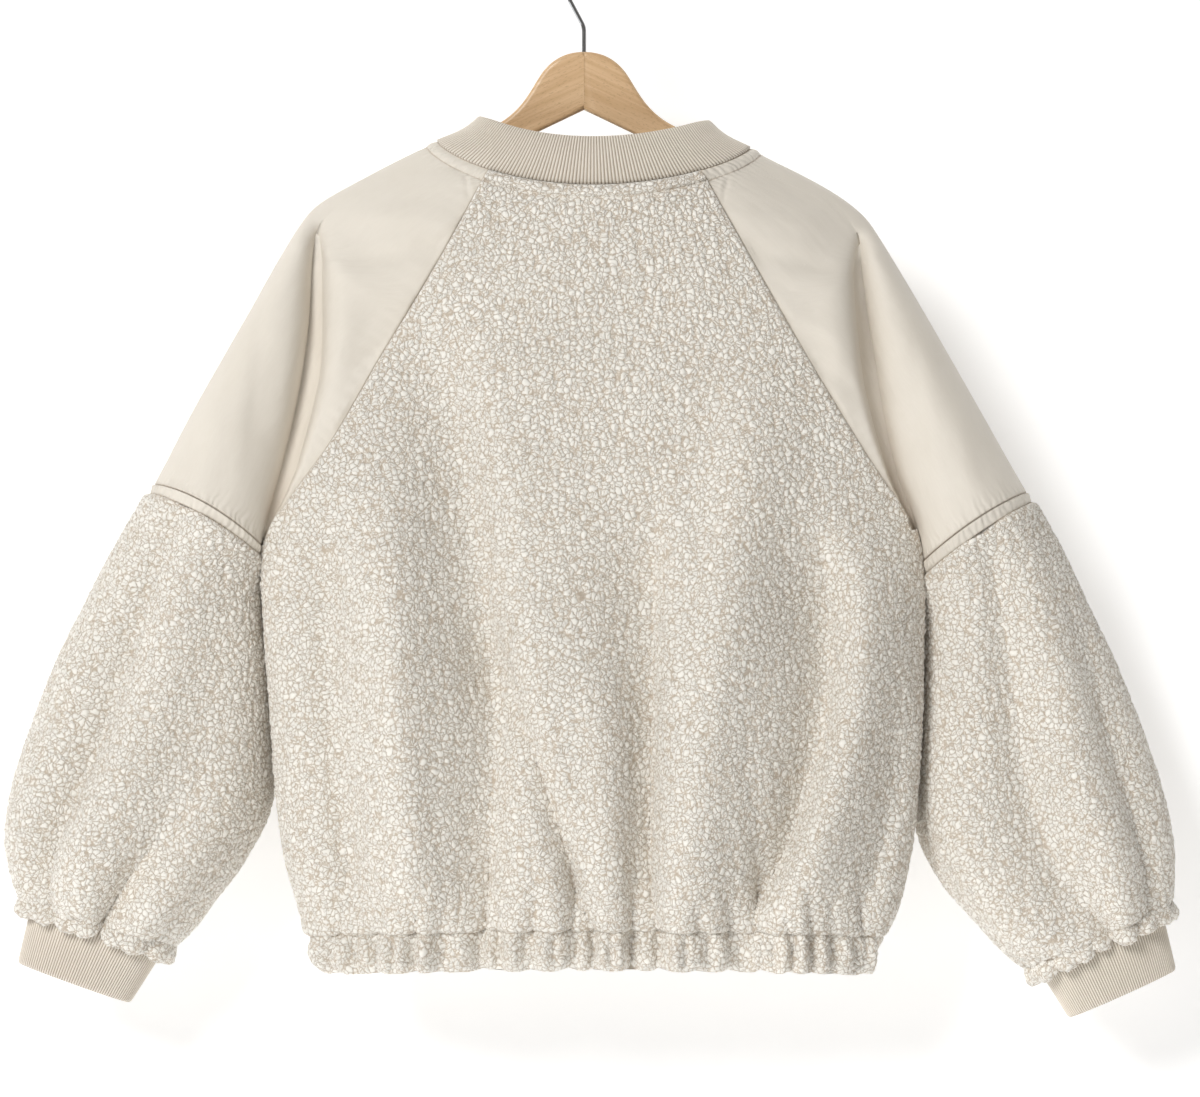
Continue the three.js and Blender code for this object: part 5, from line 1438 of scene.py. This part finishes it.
# %% [markdown]
# ## The hanger
# The hanger is two beech arms, sawn flat, glued at the middle and rounded along every edge. An outline
# with a few rings around its edge gives that round-over. The hook is steel wire, bent round a peg.

# %% Hanger wood
HOOK = {"wire": 3.8, "loop": 16, "lean": 28, "stem_x": -3.5, "rise": 20, "sunk": 24, "tip": -8}
WOOD = {"thick": 12, "span": 213, "notch": 46.4, "notch_slope": 0.479, "slope": 0.466, "rise": 0.5,
        "round": 3.2}
SHOULDER_AT = (73.6, -60)  # where the arm's rounded top runs out into its long slope, mm
GLUE_LINE = 0.015  # half the gap between the two arms, mm
LOOP_Z = HOOK["wire"] / 2 - HOOK["loop"]
LEAN = math.radians(180 + HOOK["lean"])
ARC_START = np.array([HOOK["loop"] * math.cos(LEAN), 0, HOOK["loop"] * math.sin(LEAN) + LOOP_Z])
STEM_TOP = ARC_START[2] - (HOOK["stem_x"] - ARC_START[0]) / math.tan(math.radians(HOOK["lean"]))
WOOD_TOP = STEM_TOP - HOOK["rise"]


def bezier(a, b, c, d, count):
    u = np.linspace(0, 1, count + 1)[:, None]
    a, b, c, d = (np.array(p, float) for p in (a, b, c, d))
    return a * (1 - u) ** 3 + 3 * b * u * (1 - u) ** 2 + 3 * c * u * u * (1 - u) + d * u**3


def arm_outline():
    """Half of the hanger from the middle out to the tip and back along the underside, x and z in mm."""
    tip = WOOD["span"]

    def top(x):
        out = x - SHOULDER_AT[0]
        return SHOULDER_AT[1] - out * WOOD["slope"] + WOOD["rise"] * (out / 120) ** 2

    def low(x):
        return -WOOD["notch"] - x * WOOD["notch_slope"]

    reach, back = np.linspace(SHOULDER_AT[0], tip - 14, 16), np.linspace(tip - 8, GLUE_LINE, 24)
    tip_over, tip_under = (tip - 14, top(tip - 14)), (tip - 8, low(tip - 8))
    runs = [
        bezier((GLUE_LINE, 0), (16, 0), (27, -7), (35, -19), 22),
        bezier((35, -19), (43, -31), (50, -49), SHOULDER_AT, 22),
        np.stack([reach, top(reach)], axis=1),
        bezier(tip_over, (tip - 4, top(tip - 4)), (tip + 4, top(tip) - 14), tip_under, 22),
        np.stack([back, low(back)], axis=1),
    ]
    line = np.concatenate(runs)
    keep = np.append(True, np.linalg.norm(np.diff(line, axis=0), axis=1) > 0.05)
    return line[keep]


def hanger_arm(side):
    line = arm_outline()
    ahead, back = np.roll(line, -1, axis=0) - line, line - np.roll(line, 1, axis=0)
    tangent = unit(unit(ahead) + unit(back))
    inward = np.stack([tangent[:, 1], -tangent[:, 0]], axis=1)
    by_glue = line[:, 0] < GLUE_LINE + 0.01
    inward[by_glue] = [0, 0]
    inward[0] = [0, -1]
    inward[-1] = [0, 1]
    half, rounded = WOOD["thick"] / 2, WOOD["round"]
    turns = np.radians([0, 12, 30, 50, 70, 90])
    levels = [(-half + rounded * (1 - math.sin(a)), rounded * (1 - math.cos(a))) for a in turns[::-1]]
    face_in = rounded + 0.6  # a ring just inside each flat face keeps it flat
    levels = [(-half, face_in), *levels, *[(-y, inset) for y, inset in levels[::-1]], (half, face_in)]
    points = []
    for y, inset in levels:
        ring = line + inward * inset
        points.append(np.stack([SIGN[side] * ring[:, 0], np.full(len(ring), y), ring[:, 1]], axis=1))
    faces = ring_faces(0, len(levels), len(line))
    points = (np.concatenate(points) + [HOOK["stem_x"], 0, WOOD_TOP]) * MM
    piece = solid_piece("wood_arm_" + side, points, faces, {"rest_place": points})
    return on_jacket(piece, "beech", "hanger_arm_" + side)


wood_arms = [hanger_arm(side) for side in SIDES]


# %% Hook wire
def hook_line():
    foot = np.array([HOOK["stem_x"], 0, WOOD_TOP - HOOK["sunk"]])
    bend = np.array([HOOK["stem_x"], 0, STEM_TOP])
    lean = unit(ARC_START - bend)
    soft = 3.5
    below, near = [0, 0, soft], [0, 0, soft / 3]
    elbow = bezier(bend - below, bend - near, bend + lean * soft / 3, bend + lean * soft, 8)
    angle = np.linspace(LEAN, math.radians(HOOK["tip"]), 72)
    loop = np.stack([HOOK["loop"] * np.cos(angle), 0 * angle, HOOK["loop"] * np.sin(angle) + LOOP_Z], axis=1)
    straight = [foot + (elbow[0] - foot) * u for u in np.linspace(0, 1, 6)[:-1]]
    rise = [elbow[-1] + (ARC_START - elbow[-1]) * u for u in np.linspace(0, 1, 6)[1:-1]]
    return np.concatenate([straight, elbow, rise, loop])


WIRE_DOME = {"high": 0.6, "turns": (75, 50, 25)}  # a cut end: its height in radii and its rings' turns


def wire_piece(name, line, radius, sides=20):
    """A round wire in the plane y = 0 with domed ends."""
    tangent = unit(np.gradient(line, axis=0))
    across = np.array([0, 1.0, 0])
    rings = []
    for k, at in ((0, -1), (len(line) - 1, 1)):
        high = at * radius * WIRE_DOME["high"] * tangent[k]
        turns = np.radians(WIRE_DOME["turns"])
        rings.append([(line[k] + high * math.sin(a), radius * math.cos(a), tangent[k]) for a in turns])
    middle = [(p, radius, t) for p, t in zip(line, tangent)]
    rings = rings[0] + middle + rings[1][::-1]
    turn = np.linspace(0, 2 * np.pi, sides + 1)[:-1]
    points = []
    for p, r, t in rings:
        other = np.cross(t, across)
        points += [p + r * (math.cos(a) * across + math.sin(a) * other) for a in turn]
    return solid_piece(name, np.array(points) * MM, ring_faces(0, len(rings), sides))


hook = on_jacket(wire_piece("hook", hook_line(), HOOK["wire"] / 2), "hook_steel", "hanger_hook")

# %% [markdown]
# ## Finishes
# Each finish is a material of texture nodes. What more than one of them needs is built once, as a node
# group with named inputs that gives out only colours, masks, values and normals: the slow drift of shade
# in dyed cloth, the fine weave, the pile's curls and the wood's grain. The surface shader stays outside.

# %% Node helpers


def new_group(name, inputs, outputs):
    """An empty shader group; inputs are (name, kind, default) and outputs (name, kind)."""
    group = bpy.data.node_groups.new(name, "ShaderNodeTree")
    for label, kind, default in inputs:
        socket = group.interface.new_socket(label, in_out="INPUT", socket_type="NodeSocket" + kind)
        if default is not None:
            socket.default_value = default
    for label, kind in outputs:
        group.interface.new_socket(label, in_out="OUTPUT", socket_type="NodeSocket" + kind)
    return group, add_node(group, "NodeGroupInput").outputs, add_node(group, "NodeGroupOutput").inputs


def use_group(tree, group, **inputs):
    node = add_node(tree, "ShaderNodeGroup", group.name, node_tree=group)
    for name, value in inputs.items():
        wire(tree, value, node.inputs[name.replace("_", " ")])
    return node.outputs


def blend(tree, factor, low, high):
    """A colour between two colours."""
    node = add_node(tree, "ShaderNodeMix", "blend", data_type="RGBA")
    for name, value in (("Factor", factor), ("A", low), ("B", high)):
        wire(tree, (*value, 1) if isinstance(value, tuple) else value, node.inputs[name])
    return node.outputs["Result"]


def raised(tree, height, deep, normal=None):
    """A normal from a height between 0 and 1, where 1 stands this many metres proud."""
    node = add_node(tree, "ShaderNodeBump", "raised")
    node.inputs["Distance"].default_value = deep
    wire(tree, height, node.inputs["Height"])
    if normal is not None:
        wire(tree, normal, node.inputs["Normal"])
    return node.outputs["Normal"]


def on_surface(tree, name):
    """A fact stored on the piece's points."""
    return add_node(tree, "ShaderNodeAttribute", name, attribute_name=name)


def finish(name, **settings):
    """A new material, its tree and its surface shader with plain settings on its own sockets."""
    material = bpy.data.materials.new(name)
    material.use_nodes = True
    tree = material.node_tree
    shader = tree.nodes["Principled BSDF"]
    for socket, value in settings.items():
        shader.inputs[socket.replace("_", " ")].default_value = value
    return material, tree, shader


def dress(pieces, material):
    for piece in pieces:
        piece.data.materials.clear()
        piece.data.materials.append(material)
    print(f"{material.name}: on {len(pieces)} pieces")


# %% [markdown]
# ### Shade that drifts
# No dyed cloth is one flat colour. A slow noise and a faster one give a value around 0 that lightens and
# darkens it a little from place to place.

# %% Drift group
DRIFT, given, made = new_group(
    "shade drift", [("Place", "Vector", None), ("Size", "Float", 0.1)], [("Drift", "Float")]
)
scaled = add_node(DRIFT, "ShaderNodeVectorMath", "per size", operation="DIVIDE")
size_vector = add_node(DRIFT, "ShaderNodeCombineXYZ", "size")
for axis in "XYZ":
    DRIFT.links.new(given["Size"], size_vector.inputs[axis])
DRIFT.links.new(given["Place"], scaled.inputs[0])
DRIFT.links.new(size_vector.outputs[0], scaled.inputs[1])
slow = noise(DRIFT, scaled.outputs[0], 1.0, 1.0)
quick = noise(DRIFT, scaled.outputs[0], 0.16, 2.0)
mixed = maths(DRIFT, "ADD", maths(DRIFT, "MULTIPLY", slow, 0.7), maths(DRIFT, "MULTIPLY", quick, 0.3))
DRIFT.links.new(maths(DRIFT, "SUBTRACT", mixed, 0.5), made["Drift"])

# %% [markdown]
# ### Sherpa
# The creases between the curls are deep, and their colour is painted shade; the tops of the curls are
# painted lighter, almost white, as painted light. Fine fibres break up the light on each curl. Sheen stands
# for the fuzz that glows where the pile is seen edge on.

# %% Sherpa finish
CURLS, given, made = new_group(
    "sherpa curls",
    [("Place", "Vector", None)],
    [("Height", "Float"), ("Crease", "Float"), ("Fibre", "Float")],
)
height, crease = curl_field(CURLS, given["Place"])
fibre = noise(CURLS, given["Place"], 0.0008, 2.0)
for value, name in ((height, "Height"), (crease, "Crease"), (fibre, "Fibre")):
    CURLS.links.new(value, made[name])

# The crease colour is painted shade between the curls, and the tip colour is painted light on the tops of the
# curls.
CREASE_SHADE, PILE_BODY, PILE_TOP_PAINTED_LIGHT = (0.45, 0.36, 0.265), (0.855, 0.805, 0.725), (0.925, 0.895, 0.83)
PILE_RELIEF = (("Height", 0.8), ("Fibre", 0.2))  # the share of the lumps and of the hairs
PILE_BUMP = 0.0014  # metres
BACKING_SHADE = (0.66, 0.60, 0.51)


def sherpa_finish():
    material, tree, shader = finish(
        "sherpa pile", Roughness=0.95, Specular_IOR_Level=0.15, Sheen_Weight=0.35, Sheen_Roughness=0.5
    )
    shader.inputs["Sheen Tint"].default_value = (1.0, 0.98, 0.94, 1)
    place = on_surface(tree, "rest_place").outputs["Vector"]
    right = on_surface(tree, "right_side").outputs["Fac"]
    curls = use_group(tree, CURLS, Place=place)
    drift = use_group(tree, DRIFT, Place=place, Size=0.08)["Drift"]
    # The higher a curl stands, the lighter it is painted: painted light on its top.
    body = blend(tree, remap(tree, curls["Height"], 0.15, 0.75), PILE_BODY, PILE_TOP_PAINTED_LIGHT)
    # The creases are painted towards the crease colour: painted shade between the curls.
    shaded = blend(tree, maths(tree, "MULTIPLY", curls["Crease"], 0.8), body, CREASE_SHADE)
    tone = maths(tree, "ADD", 1.0, maths(tree, "MULTIPLY", drift, 0.12))
    toned = vector_maths(tree, "SCALE", shaded, tone)
    wire(tree, blend(tree, right, BACKING_SHADE, toned), shader.inputs["Base Color"])
    lumps, hairs = (maths(tree, "MULTIPLY", curls[name], amount) for name, amount in PILE_RELIEF)
    relief = maths(tree, "MULTIPLY", maths(tree, "ADD", lumps, hairs), right)
    wire(tree, raised(tree, relief, PILE_BUMP), shader.inputs["Normal"])
    return material


dress(sherpa_pieces, sherpa_finish())

# %% [markdown]
# ### Woven shoulders
# The shell is a dense plain weave, so fine that it reads as a matt surface with soft, broad highlights.
# Its threads are there for a close look, and short stress wrinkles run through it at random.

# %% Weave group and shell finish
WEAVE, given, made = new_group(
    "plain weave",
    [("Flat Place", "Vector", None), ("Pitch", "Float", 0.0004)],
    [("Height", "Float"), ("Thread", "Float")],
)
parts = add_node(WEAVE, "ShaderNodeSeparateXYZ", "flat place")
WEAVE.links.new(given["Flat Place"], parts.inputs[0])
phase_u = maths(WEAVE, "MULTIPLY", maths(WEAVE, "DIVIDE", parts.outputs[0], given["Pitch"]), math.pi)
phase_v = maths(WEAVE, "MULTIPLY", maths(WEAVE, "DIVIDE", parts.outputs[1], given["Pitch"]), math.pi)
over = maths(WEAVE, "MULTIPLY", maths(WEAVE, "SINE", phase_u), maths(WEAVE, "SINE", phase_v))
WEAVE.links.new(maths(WEAVE, "ADD", maths(WEAVE, "MULTIPLY", over, 0.5), 0.5), made["Height"])
slub = noise(WEAVE, vector_maths(WEAVE, "MULTIPLY", given["Flat Place"], (1.0, 0.12, 1.0)), 0.0011, 1.0)
WEAVE.links.new(slub, made["Thread"])

# SEAM_SHADE is the colour of painted shade, in the grooves of the seams and in the fold below the arm
SHELL_LIGHT, SHELL_DEEP, SEAM_SHADE = (0.815, 0.765, 0.685), (0.745, 0.69, 0.60), (0.50, 0.40, 0.30)
VALLEY_PAINTED_SHADE = 0.5  # how far the painted shade in the fold below the arm goes towards the seams' painted shade
WRINKLE_SIZE = (0.020, 0.055)  # across and along a wrinkle, metres
FINE_PUCKER = 0.0056  # from one small pucker at a seam to the next, metres


def shell_finish():
    material, tree, shader = finish(
        "woven shell", Roughness=0.62, Specular_IOR_Level=0.35, Sheen_Weight=0.18, Sheen_Roughness=0.4
    )
    flat = on_surface(tree, "flat_place").outputs["Vector"]
    place = on_surface(tree, "rest_place").outputs["Vector"]
    weave = use_group(tree, WEAVE, Flat_Place=flat, Pitch=0.00045)
    drift = use_group(tree, DRIFT, Place=place, Size=0.12)["Drift"]
    stretched = vector_maths(tree, "DIVIDE", flat, (WRINKLE_SIZE[0], WRINKLE_SIZE[1], 1.0))
    wrinkle = noise(tree, stretched, 1.0, 1.5)
    thread = maths(tree, "MULTIPLY", weave["Thread"], 0.5)
    share = maths(tree, "ADD", thread, maths(tree, "ADD", drift, 0.25), clamp=True)
    # Painted shade: the cloth darkens towards SEAM_SHADE within 1.2 mm of a seam, where the seam's groove is
    # shaded, and in the fold below the arm
    seam = remap(tree, on_surface(tree, "from_seam").outputs["Fac"], 0.0, 0.0012, 0.6, 0.0)
    shade = maths(tree, "MULTIPLY", on_surface(tree, "valley").outputs["Fac"], VALLEY_PAINTED_SHADE)
    cloth = blend(tree, share, SHELL_DEEP, SHELL_LIGHT)
    shaded = blend(tree, maths(tree, "MAXIMUM", seam, shade), cloth, SEAM_SHADE)
    wire(tree, shaded, shader.inputs["Base Color"])
    across = add_node(tree, "ShaderNodeSeparateXYZ", "flat place")
    wire(tree, flat, across.inputs[0])
    beat = maths(tree, "MULTIPLY", across.outputs[0], 2 * math.pi / FINE_PUCKER)
    uneven = maths(tree, "MULTIPLY", noise(tree, place, 0.014, 1.0), 9.0)
    fine = maths(tree, "SINE", maths(tree, "ADD", beat, uneven))
    fine = maths(tree, "MULTIPLY", fine, on_surface(tree, "pucker").outputs["Fac"])
    soft = raised(tree, fine, 0.00035, raised(tree, wrinkle, 0.0022))
    wire(tree, raised(tree, weave["Height"], 0.00005, soft), shader.inputs["Normal"])
    wire(tree, remap(tree, weave["Thread"], 0.2, 0.8, 0.56, 0.7), shader.inputs["Roughness"])
    return material


def thread_finish():
    material, tree, shader = finish("sewing thread", Roughness=0.6, Specular_IOR_Level=0.35, Sheen_Weight=0.2)
    place = on_surface(tree, "rest_place").outputs["Vector"]
    ply = noise(tree, place, 0.0005, 1.0)
    wire(tree, blend(tree, ply, (0.70, 0.64, 0.55), (0.86, 0.81, 0.73)), shader.inputs["Base Color"])
    wire(tree, raised(tree, ply, 0.00006), shader.inputs["Normal"])
    return material


dress(woven_pieces, shell_finish())
dress([topstitching], thread_finish())

# %% [markdown]
# ### Rib knit
# The ridges are modelled, so the material adds what is smaller: the small V of each stitch up a ridge,
# and painted shade down in the grooves, where the column's place on the rib is stored.

# %% Rib finish
# The groove colour is painted shade for the grooves between the ribs.
RIB_RIDGE, RIB_GROOVE_PAINTED_SHADE = (0.84, 0.78, 0.69), (0.45, 0.365, 0.275)
STITCH_TALL = 0.0012  # one knitted stitch, metres


def rib_finish():
    material, tree, shader = finish(
        "rib knit", Roughness=0.9, Specular_IOR_Level=0.2, Sheen_Weight=0.25, Sheen_Roughness=0.5
    )
    turn = maths(tree, "MULTIPLY", on_surface(tree, "rib_place").outputs["Fac"], math.pi)
    ridge = maths(tree, "ABSOLUTE", maths(tree, "SINE", turn))
    flat = on_surface(tree, "flat_place").outputs["Vector"]
    place = on_surface(tree, "rest_place").outputs["Vector"]
    parts = add_node(tree, "ShaderNodeSeparateXYZ", "flat place")
    wire(tree, flat, parts.inputs[0])
    slant = maths(tree, "ADD", parts.outputs[1], maths(tree, "MULTIPLY", ridge, 0.0005))
    loops = maths(tree, "SINE", maths(tree, "MULTIPLY", slant, 2 * math.pi / STITCH_TALL))
    fuzz = noise(tree, place, 0.0006, 2.0)
    drift = use_group(tree, DRIFT, Place=place, Size=0.06)["Drift"]
    # Towards the grooves the knit is painted darker: painted shade.
    share = maths(tree, "ADD", remap(tree, ridge, 0.1, 0.8), maths(tree, "MULTIPLY", drift, 0.25), clamp=True)
    wire(tree, blend(tree, share, RIB_GROOVE_PAINTED_SHADE, RIB_RIDGE), shader.inputs["Base Color"])
    relief = maths(tree, "ADD", maths(tree, "MULTIPLY", loops, 0.3), maths(tree, "ADD", fuzz, ridge))
    wire(tree, raised(tree, relief, 0.00025), shader.inputs["Normal"])
    return material


dress(rib_pieces, rib_finish())

# %% [markdown]
# ### Zip tape and moulded teeth
# The tape is a tight woven band. The teeth are moulded in the tape's own colour, with a satin skin.

# %% Tape and teeth finishes
TAPE_LIGHT, TAPE_DEEP = (0.72, 0.66, 0.57), (0.60, 0.54, 0.45)


def tape_finish():
    material, tree, shader = finish("woven tape", Roughness=0.8, Specular_IOR_Level=0.3)
    weave = use_group(tree, WEAVE, Flat_Place=on_surface(tree, "flat_place").outputs["Vector"], Pitch=0.0007)
    wire(tree, blend(tree, weave["Height"], TAPE_DEEP, TAPE_LIGHT), shader.inputs["Base Color"])
    wire(tree, raised(tree, weave["Height"], 0.00012), shader.inputs["Normal"])
    return material


def teeth_finish():
    material, tree, shader = finish("moulded teeth", Roughness=0.35, Specular_IOR_Level=0.5)
    place = on_surface(tree, "rest_place").outputs["Vector"]
    drift = use_group(tree, DRIFT, Place=place, Size=0.01)["Drift"]
    colour = blend(tree, maths(tree, "ADD", drift, 0.5), (0.66, 0.61, 0.53), (0.78, 0.73, 0.65))
    wire(tree, colour, shader.inputs["Base Color"])
    wire(tree, remap(tree, drift, -0.3, 0.3, 0.28, 0.42), shader.inputs["Roughness"])
    return material


dress(zip_pieces[:1], tape_finish())
dress(zip_pieces[1:], teeth_finish())

# %% [markdown]
# ### Metal and wood
# Tumbled metal keeps a fine random haze, and drawn wire has fine scratches along it. Beech has close,
# straight grain with short dark flecks; each arm is sawn along its own slope, so the grain meets in a
# mitre at the middle. A clear lacquer lies over it.

# %% Metal finishes
SCRATCH, given, made = new_group(
    "fine scratches",
    [("Place", "Vector", None), ("Stretch", "Vector", (1.0, 1.0, 1.0))],
    [("Scratch", "Float")],
)
drawn = add_node(SCRATCH, "ShaderNodeVectorMath", "stretched", operation="MULTIPLY")
SCRATCH.links.new(given["Place"], drawn.inputs[0])
SCRATCH.links.new(given["Stretch"], drawn.inputs[1])
SCRATCH.links.new(noise(SCRATCH, drawn.outputs[0], 0.0009, 3.0), made["Scratch"])


def metal_finish(name, light, deep, smooth, rough, stretch):
    material, tree, shader = finish(name, Metallic=1.0, Roughness=rough)
    coords = add_node(tree, "ShaderNodeTexCoord", "place").outputs["Object"]
    scratch = use_group(tree, SCRATCH, Place=coords, Stretch=stretch)["Scratch"]
    wire(tree, blend(tree, scratch, deep, light), shader.inputs["Base Color"])
    wire(tree, remap(tree, scratch, 0.3, 0.7, smooth, rough), shader.inputs["Roughness"])
    wire(tree, raised(tree, scratch, 0.00002), shader.inputs["Normal"])
    return material


tumbled = metal_finish(
    "tumbled metal", (0.60, 0.58, 0.55), (0.46, 0.45, 0.43), 0.28, 0.42, (1.0, 1.0, 0.3)
)
bright = metal_finish(
    "bright steel", (0.62, 0.63, 0.65), (0.50, 0.51, 0.53), 0.10, 0.20, (1.0, 1.0, 0.08)
)
dress([slider, pull_tab], tumbled)
dress([hook], bright)

# %% Beech finish
GRAIN, given, made = new_group(
    "beech grain",
    [("Place", "Vector", None), ("Slope", "Float", 0.0)],
    [("Grain", "Float"), ("Fleck", "Float"), ("Board", "Float")],
)
turned = add_node(GRAIN, "ShaderNodeVectorRotate", "along the arm", rotation_type="Y_AXIS")
GRAIN.links.new(given["Place"], turned.inputs["Vector"])
GRAIN.links.new(given["Slope"], turned.inputs["Angle"])
along_grain = vector_maths(GRAIN, "MULTIPLY", turned.outputs[0], (0.035, 0.5, 1.0))
GRAIN.links.new(noise(GRAIN, along_grain, 0.0022, 3.0), made["Grain"])
flecks = noise(GRAIN, vector_maths(GRAIN, "MULTIPLY", turned.outputs[0], (0.22, 0.6, 1.0)), 0.00065, 1.0)
GRAIN.links.new(remap(GRAIN, flecks, 0.6, 0.72), made["Fleck"])
boards = vector_maths(GRAIN, "MULTIPLY", turned.outputs[0], (0.12, 0.4, 1.0))
GRAIN.links.new(noise(GRAIN, boards, 0.020, 2.0), made["Board"])

WOOD_LIGHT, WOOD_DEEP, WOOD_FLECK = (0.78, 0.54, 0.315), (0.63, 0.40, 0.205), (0.40, 0.235, 0.11)


def beech_finish(side):
    name = "lacquered beech " + side
    material, tree, shader = finish(name, Roughness=0.45, Coat_Weight=0.25, Coat_Roughness=0.22)
    place = on_surface(tree, "rest_place").outputs["Vector"]
    grain = use_group(tree, GRAIN, Place=place, Slope=-SIGN[side] * math.atan(WOOD["slope"]))
    fine = maths(tree, "MULTIPLY", grain["Grain"], 0.65)
    share = maths(tree, "ADD", fine, maths(tree, "MULTIPLY", grain["Board"], 0.45))
    timber = blend(tree, remap(tree, share, 0.35, 0.75), WOOD_DEEP, WOOD_LIGHT)
    flecked = blend(tree, maths(tree, "MULTIPLY", grain["Fleck"], 0.45), timber, WOOD_FLECK)
    wire(tree, flecked, shader.inputs["Base Color"])
    wire(tree, remap(tree, grain["Grain"], 0.3, 0.7, 0.5, 0.4), shader.inputs["Roughness"])
    wire(tree, raised(tree, grain["Grain"], 0.00008), shader.inputs["Normal"])
    return material


for side, arm in zip(SIDES, wood_arms):
    dress([arm], beech_finish(side))

# %% [markdown]
# ## The room
# The jacket hangs just in front of a white wall, high over a pale floor. Both show from one side only, so
# a view from behind looks past them. One large soft light stands high and far off on the left, and a
# weak, warm world fills the shade.

# %% Wall and floor
PAPER_GLOW = 0.37


def room_finish(shade):
    material = bpy.data.materials.new("room paint")
    material.use_nodes = True
    tree = material.node_tree
    tree.nodes.clear()
    paint = add_node(tree, "ShaderNodeBsdfDiffuse", "paint")
    clear = add_node(tree, "ShaderNodeBsdfTransparent", "clear")
    paint.inputs["Color"].default_value = (*shade, 1)
    glow = add_node(tree, "ShaderNodeEmission", "lit paper")
    lit = add_node(tree, "ShaderNodeAddShader", "lit")
    glow.inputs["Strength"].default_value = PAPER_GLOW
    wire(tree, paint.outputs[0], lit.inputs[0])
    wire(tree, glow.outputs[0], lit.inputs[1])
    face = add_node(tree, "ShaderNodeNewGeometry", "which face")
    choose = add_node(tree, "ShaderNodeMixShader", "one side")
    end = add_node(tree, "ShaderNodeOutputMaterial")
    wire(tree, face.outputs["Backfacing"], choose.inputs[0])
    wire(tree, lit.outputs[0], choose.inputs[1])
    wire(tree, clear.outputs[0], choose.inputs[2])
    wire(tree, choose.outputs[0], end.inputs["Surface"])
    return material


def room_plane(name, corners):
    plane = solid_piece(name, corners, [(0, 1, 2, 3)])
    plane.data.materials.append(room_finish((0.9, 0.9, 0.9)))
    return plane


WALL_Y, FLOOR_Z, ROOM = 0.135, -1.55, 4.0
foot_left, foot_right = (-ROOM, WALL_Y, FLOOR_Z), (ROOM, WALL_Y, FLOOR_Z)
wall = room_plane("wall", [foot_left, foot_right, (ROOM, WALL_Y, ROOM), (-ROOM, WALL_Y, ROOM)])
floor = room_plane("floor", [(-ROOM, -ROOM, FLOOR_Z), (ROOM, -ROOM, FLOOR_Z), foot_right, foot_left])
for plane, facing in ((wall, (0, -1, 0)), (floor, (0, 0, 1))):
    if plane.data.polygons[0].normal.dot(facing) < 0:
        plane.data.flip_normals()

# %% Light
bpy.context.scene.view_settings.view_transform = "Standard"
WORLD_LIGHT, WORLD_TINT = 0.18, (1.0, 0.95, 0.88)
KEY_LIGHT, KEY_WIDE, KEY_AT = 840, 4.0, (-5.0, -9.3, 4.4)  # watts, metres, metres
world = bpy.data.worlds.new("white room")
bpy.context.scene.world = world
world.use_nodes = True
world.node_tree.nodes["Background"].inputs["Color"].default_value = (*WORLD_TINT, 1)
world.node_tree.nodes["Background"].inputs["Strength"].default_value = WORLD_LIGHT
key_data = bpy.data.lights.new("key", "AREA")
key_data.shape, key_data.size, key_data.energy = "DISK", KEY_WIDE, KEY_LIGHT
key = bpy.data.objects.new("key", key_data)
key.location = KEY_AT
bpy.context.scene.collection.objects.link(key)
aim = bpy.data.objects.new("aim", None)
aim.location = (0, 0, -0.45)
direction = aim.location - key.location
key.rotation_euler = direction.to_track_quat("-Z", "Y").to_euler()
bpy.data.objects.remove(aim)
print("room: wall at y", WALL_Y, "floor at z", FLOOR_Z)

# %% [markdown]
# ## The cut of each piece
# A pattern piece is cut flat and then hung, gathered or stretched. This cell prints the flat size of each.

# %% Sheets
def cut(names, width, length, held):
    """Prints the width and length of the flat cut, in metres, and how it is held, for each piece of that cut.
    """
    for name in names.split():
        print(f"{name}: cut {width:.3f} x {length:.3f} m, {held}")


cut("sherpa_back_panel", 0.620, 0.640, "gathered")
cut("sherpa_front_panel_left sherpa_front_panel_right", 0.300, 0.580, "gathered")
cut("sherpa_sleeve_lower_left", 0.500, 0.375, "gathered")
cut("sherpa_sleeve_lower_right", 0.500, 0.375, "gathered")
cut("sherpa_hem_casing_back", 0.600, 0.036, "gathered")
cut("sherpa_hem_casing_front_left", 0.290, 0.036, "gathered")
cut("sherpa_hem_casing_front_right", 0.290, 0.036, "gathered")
cut("sherpa_neck_band_back", 0.190, 0.017, "folded")
cut("sherpa_neck_band_front_left sherpa_neck_band_front_right", 0.096, 0.017, "folded")
cut("woven_sleeve_yoke_left", 0.350, 0.390, "draped")
cut("woven_sleeve_yoke_right", 0.340, 0.390, "draped")
cut("woven_sleeve_welt_left woven_sleeve_welt_right", 0.322, 0.0135, "folded")
cut("woven_neck_band_left woven_neck_band_right", 0.175, 0.0125, "folded")
cut("rib_collar", 0.620, 0.047, "stretched")
cut("rib_cuff_left", 0.262, 0.054, "stretched")
cut("rib_cuff_right", 0.262, 0.054, "stretched")
cut("zip_tape", 0.026, 0.610, "hung")
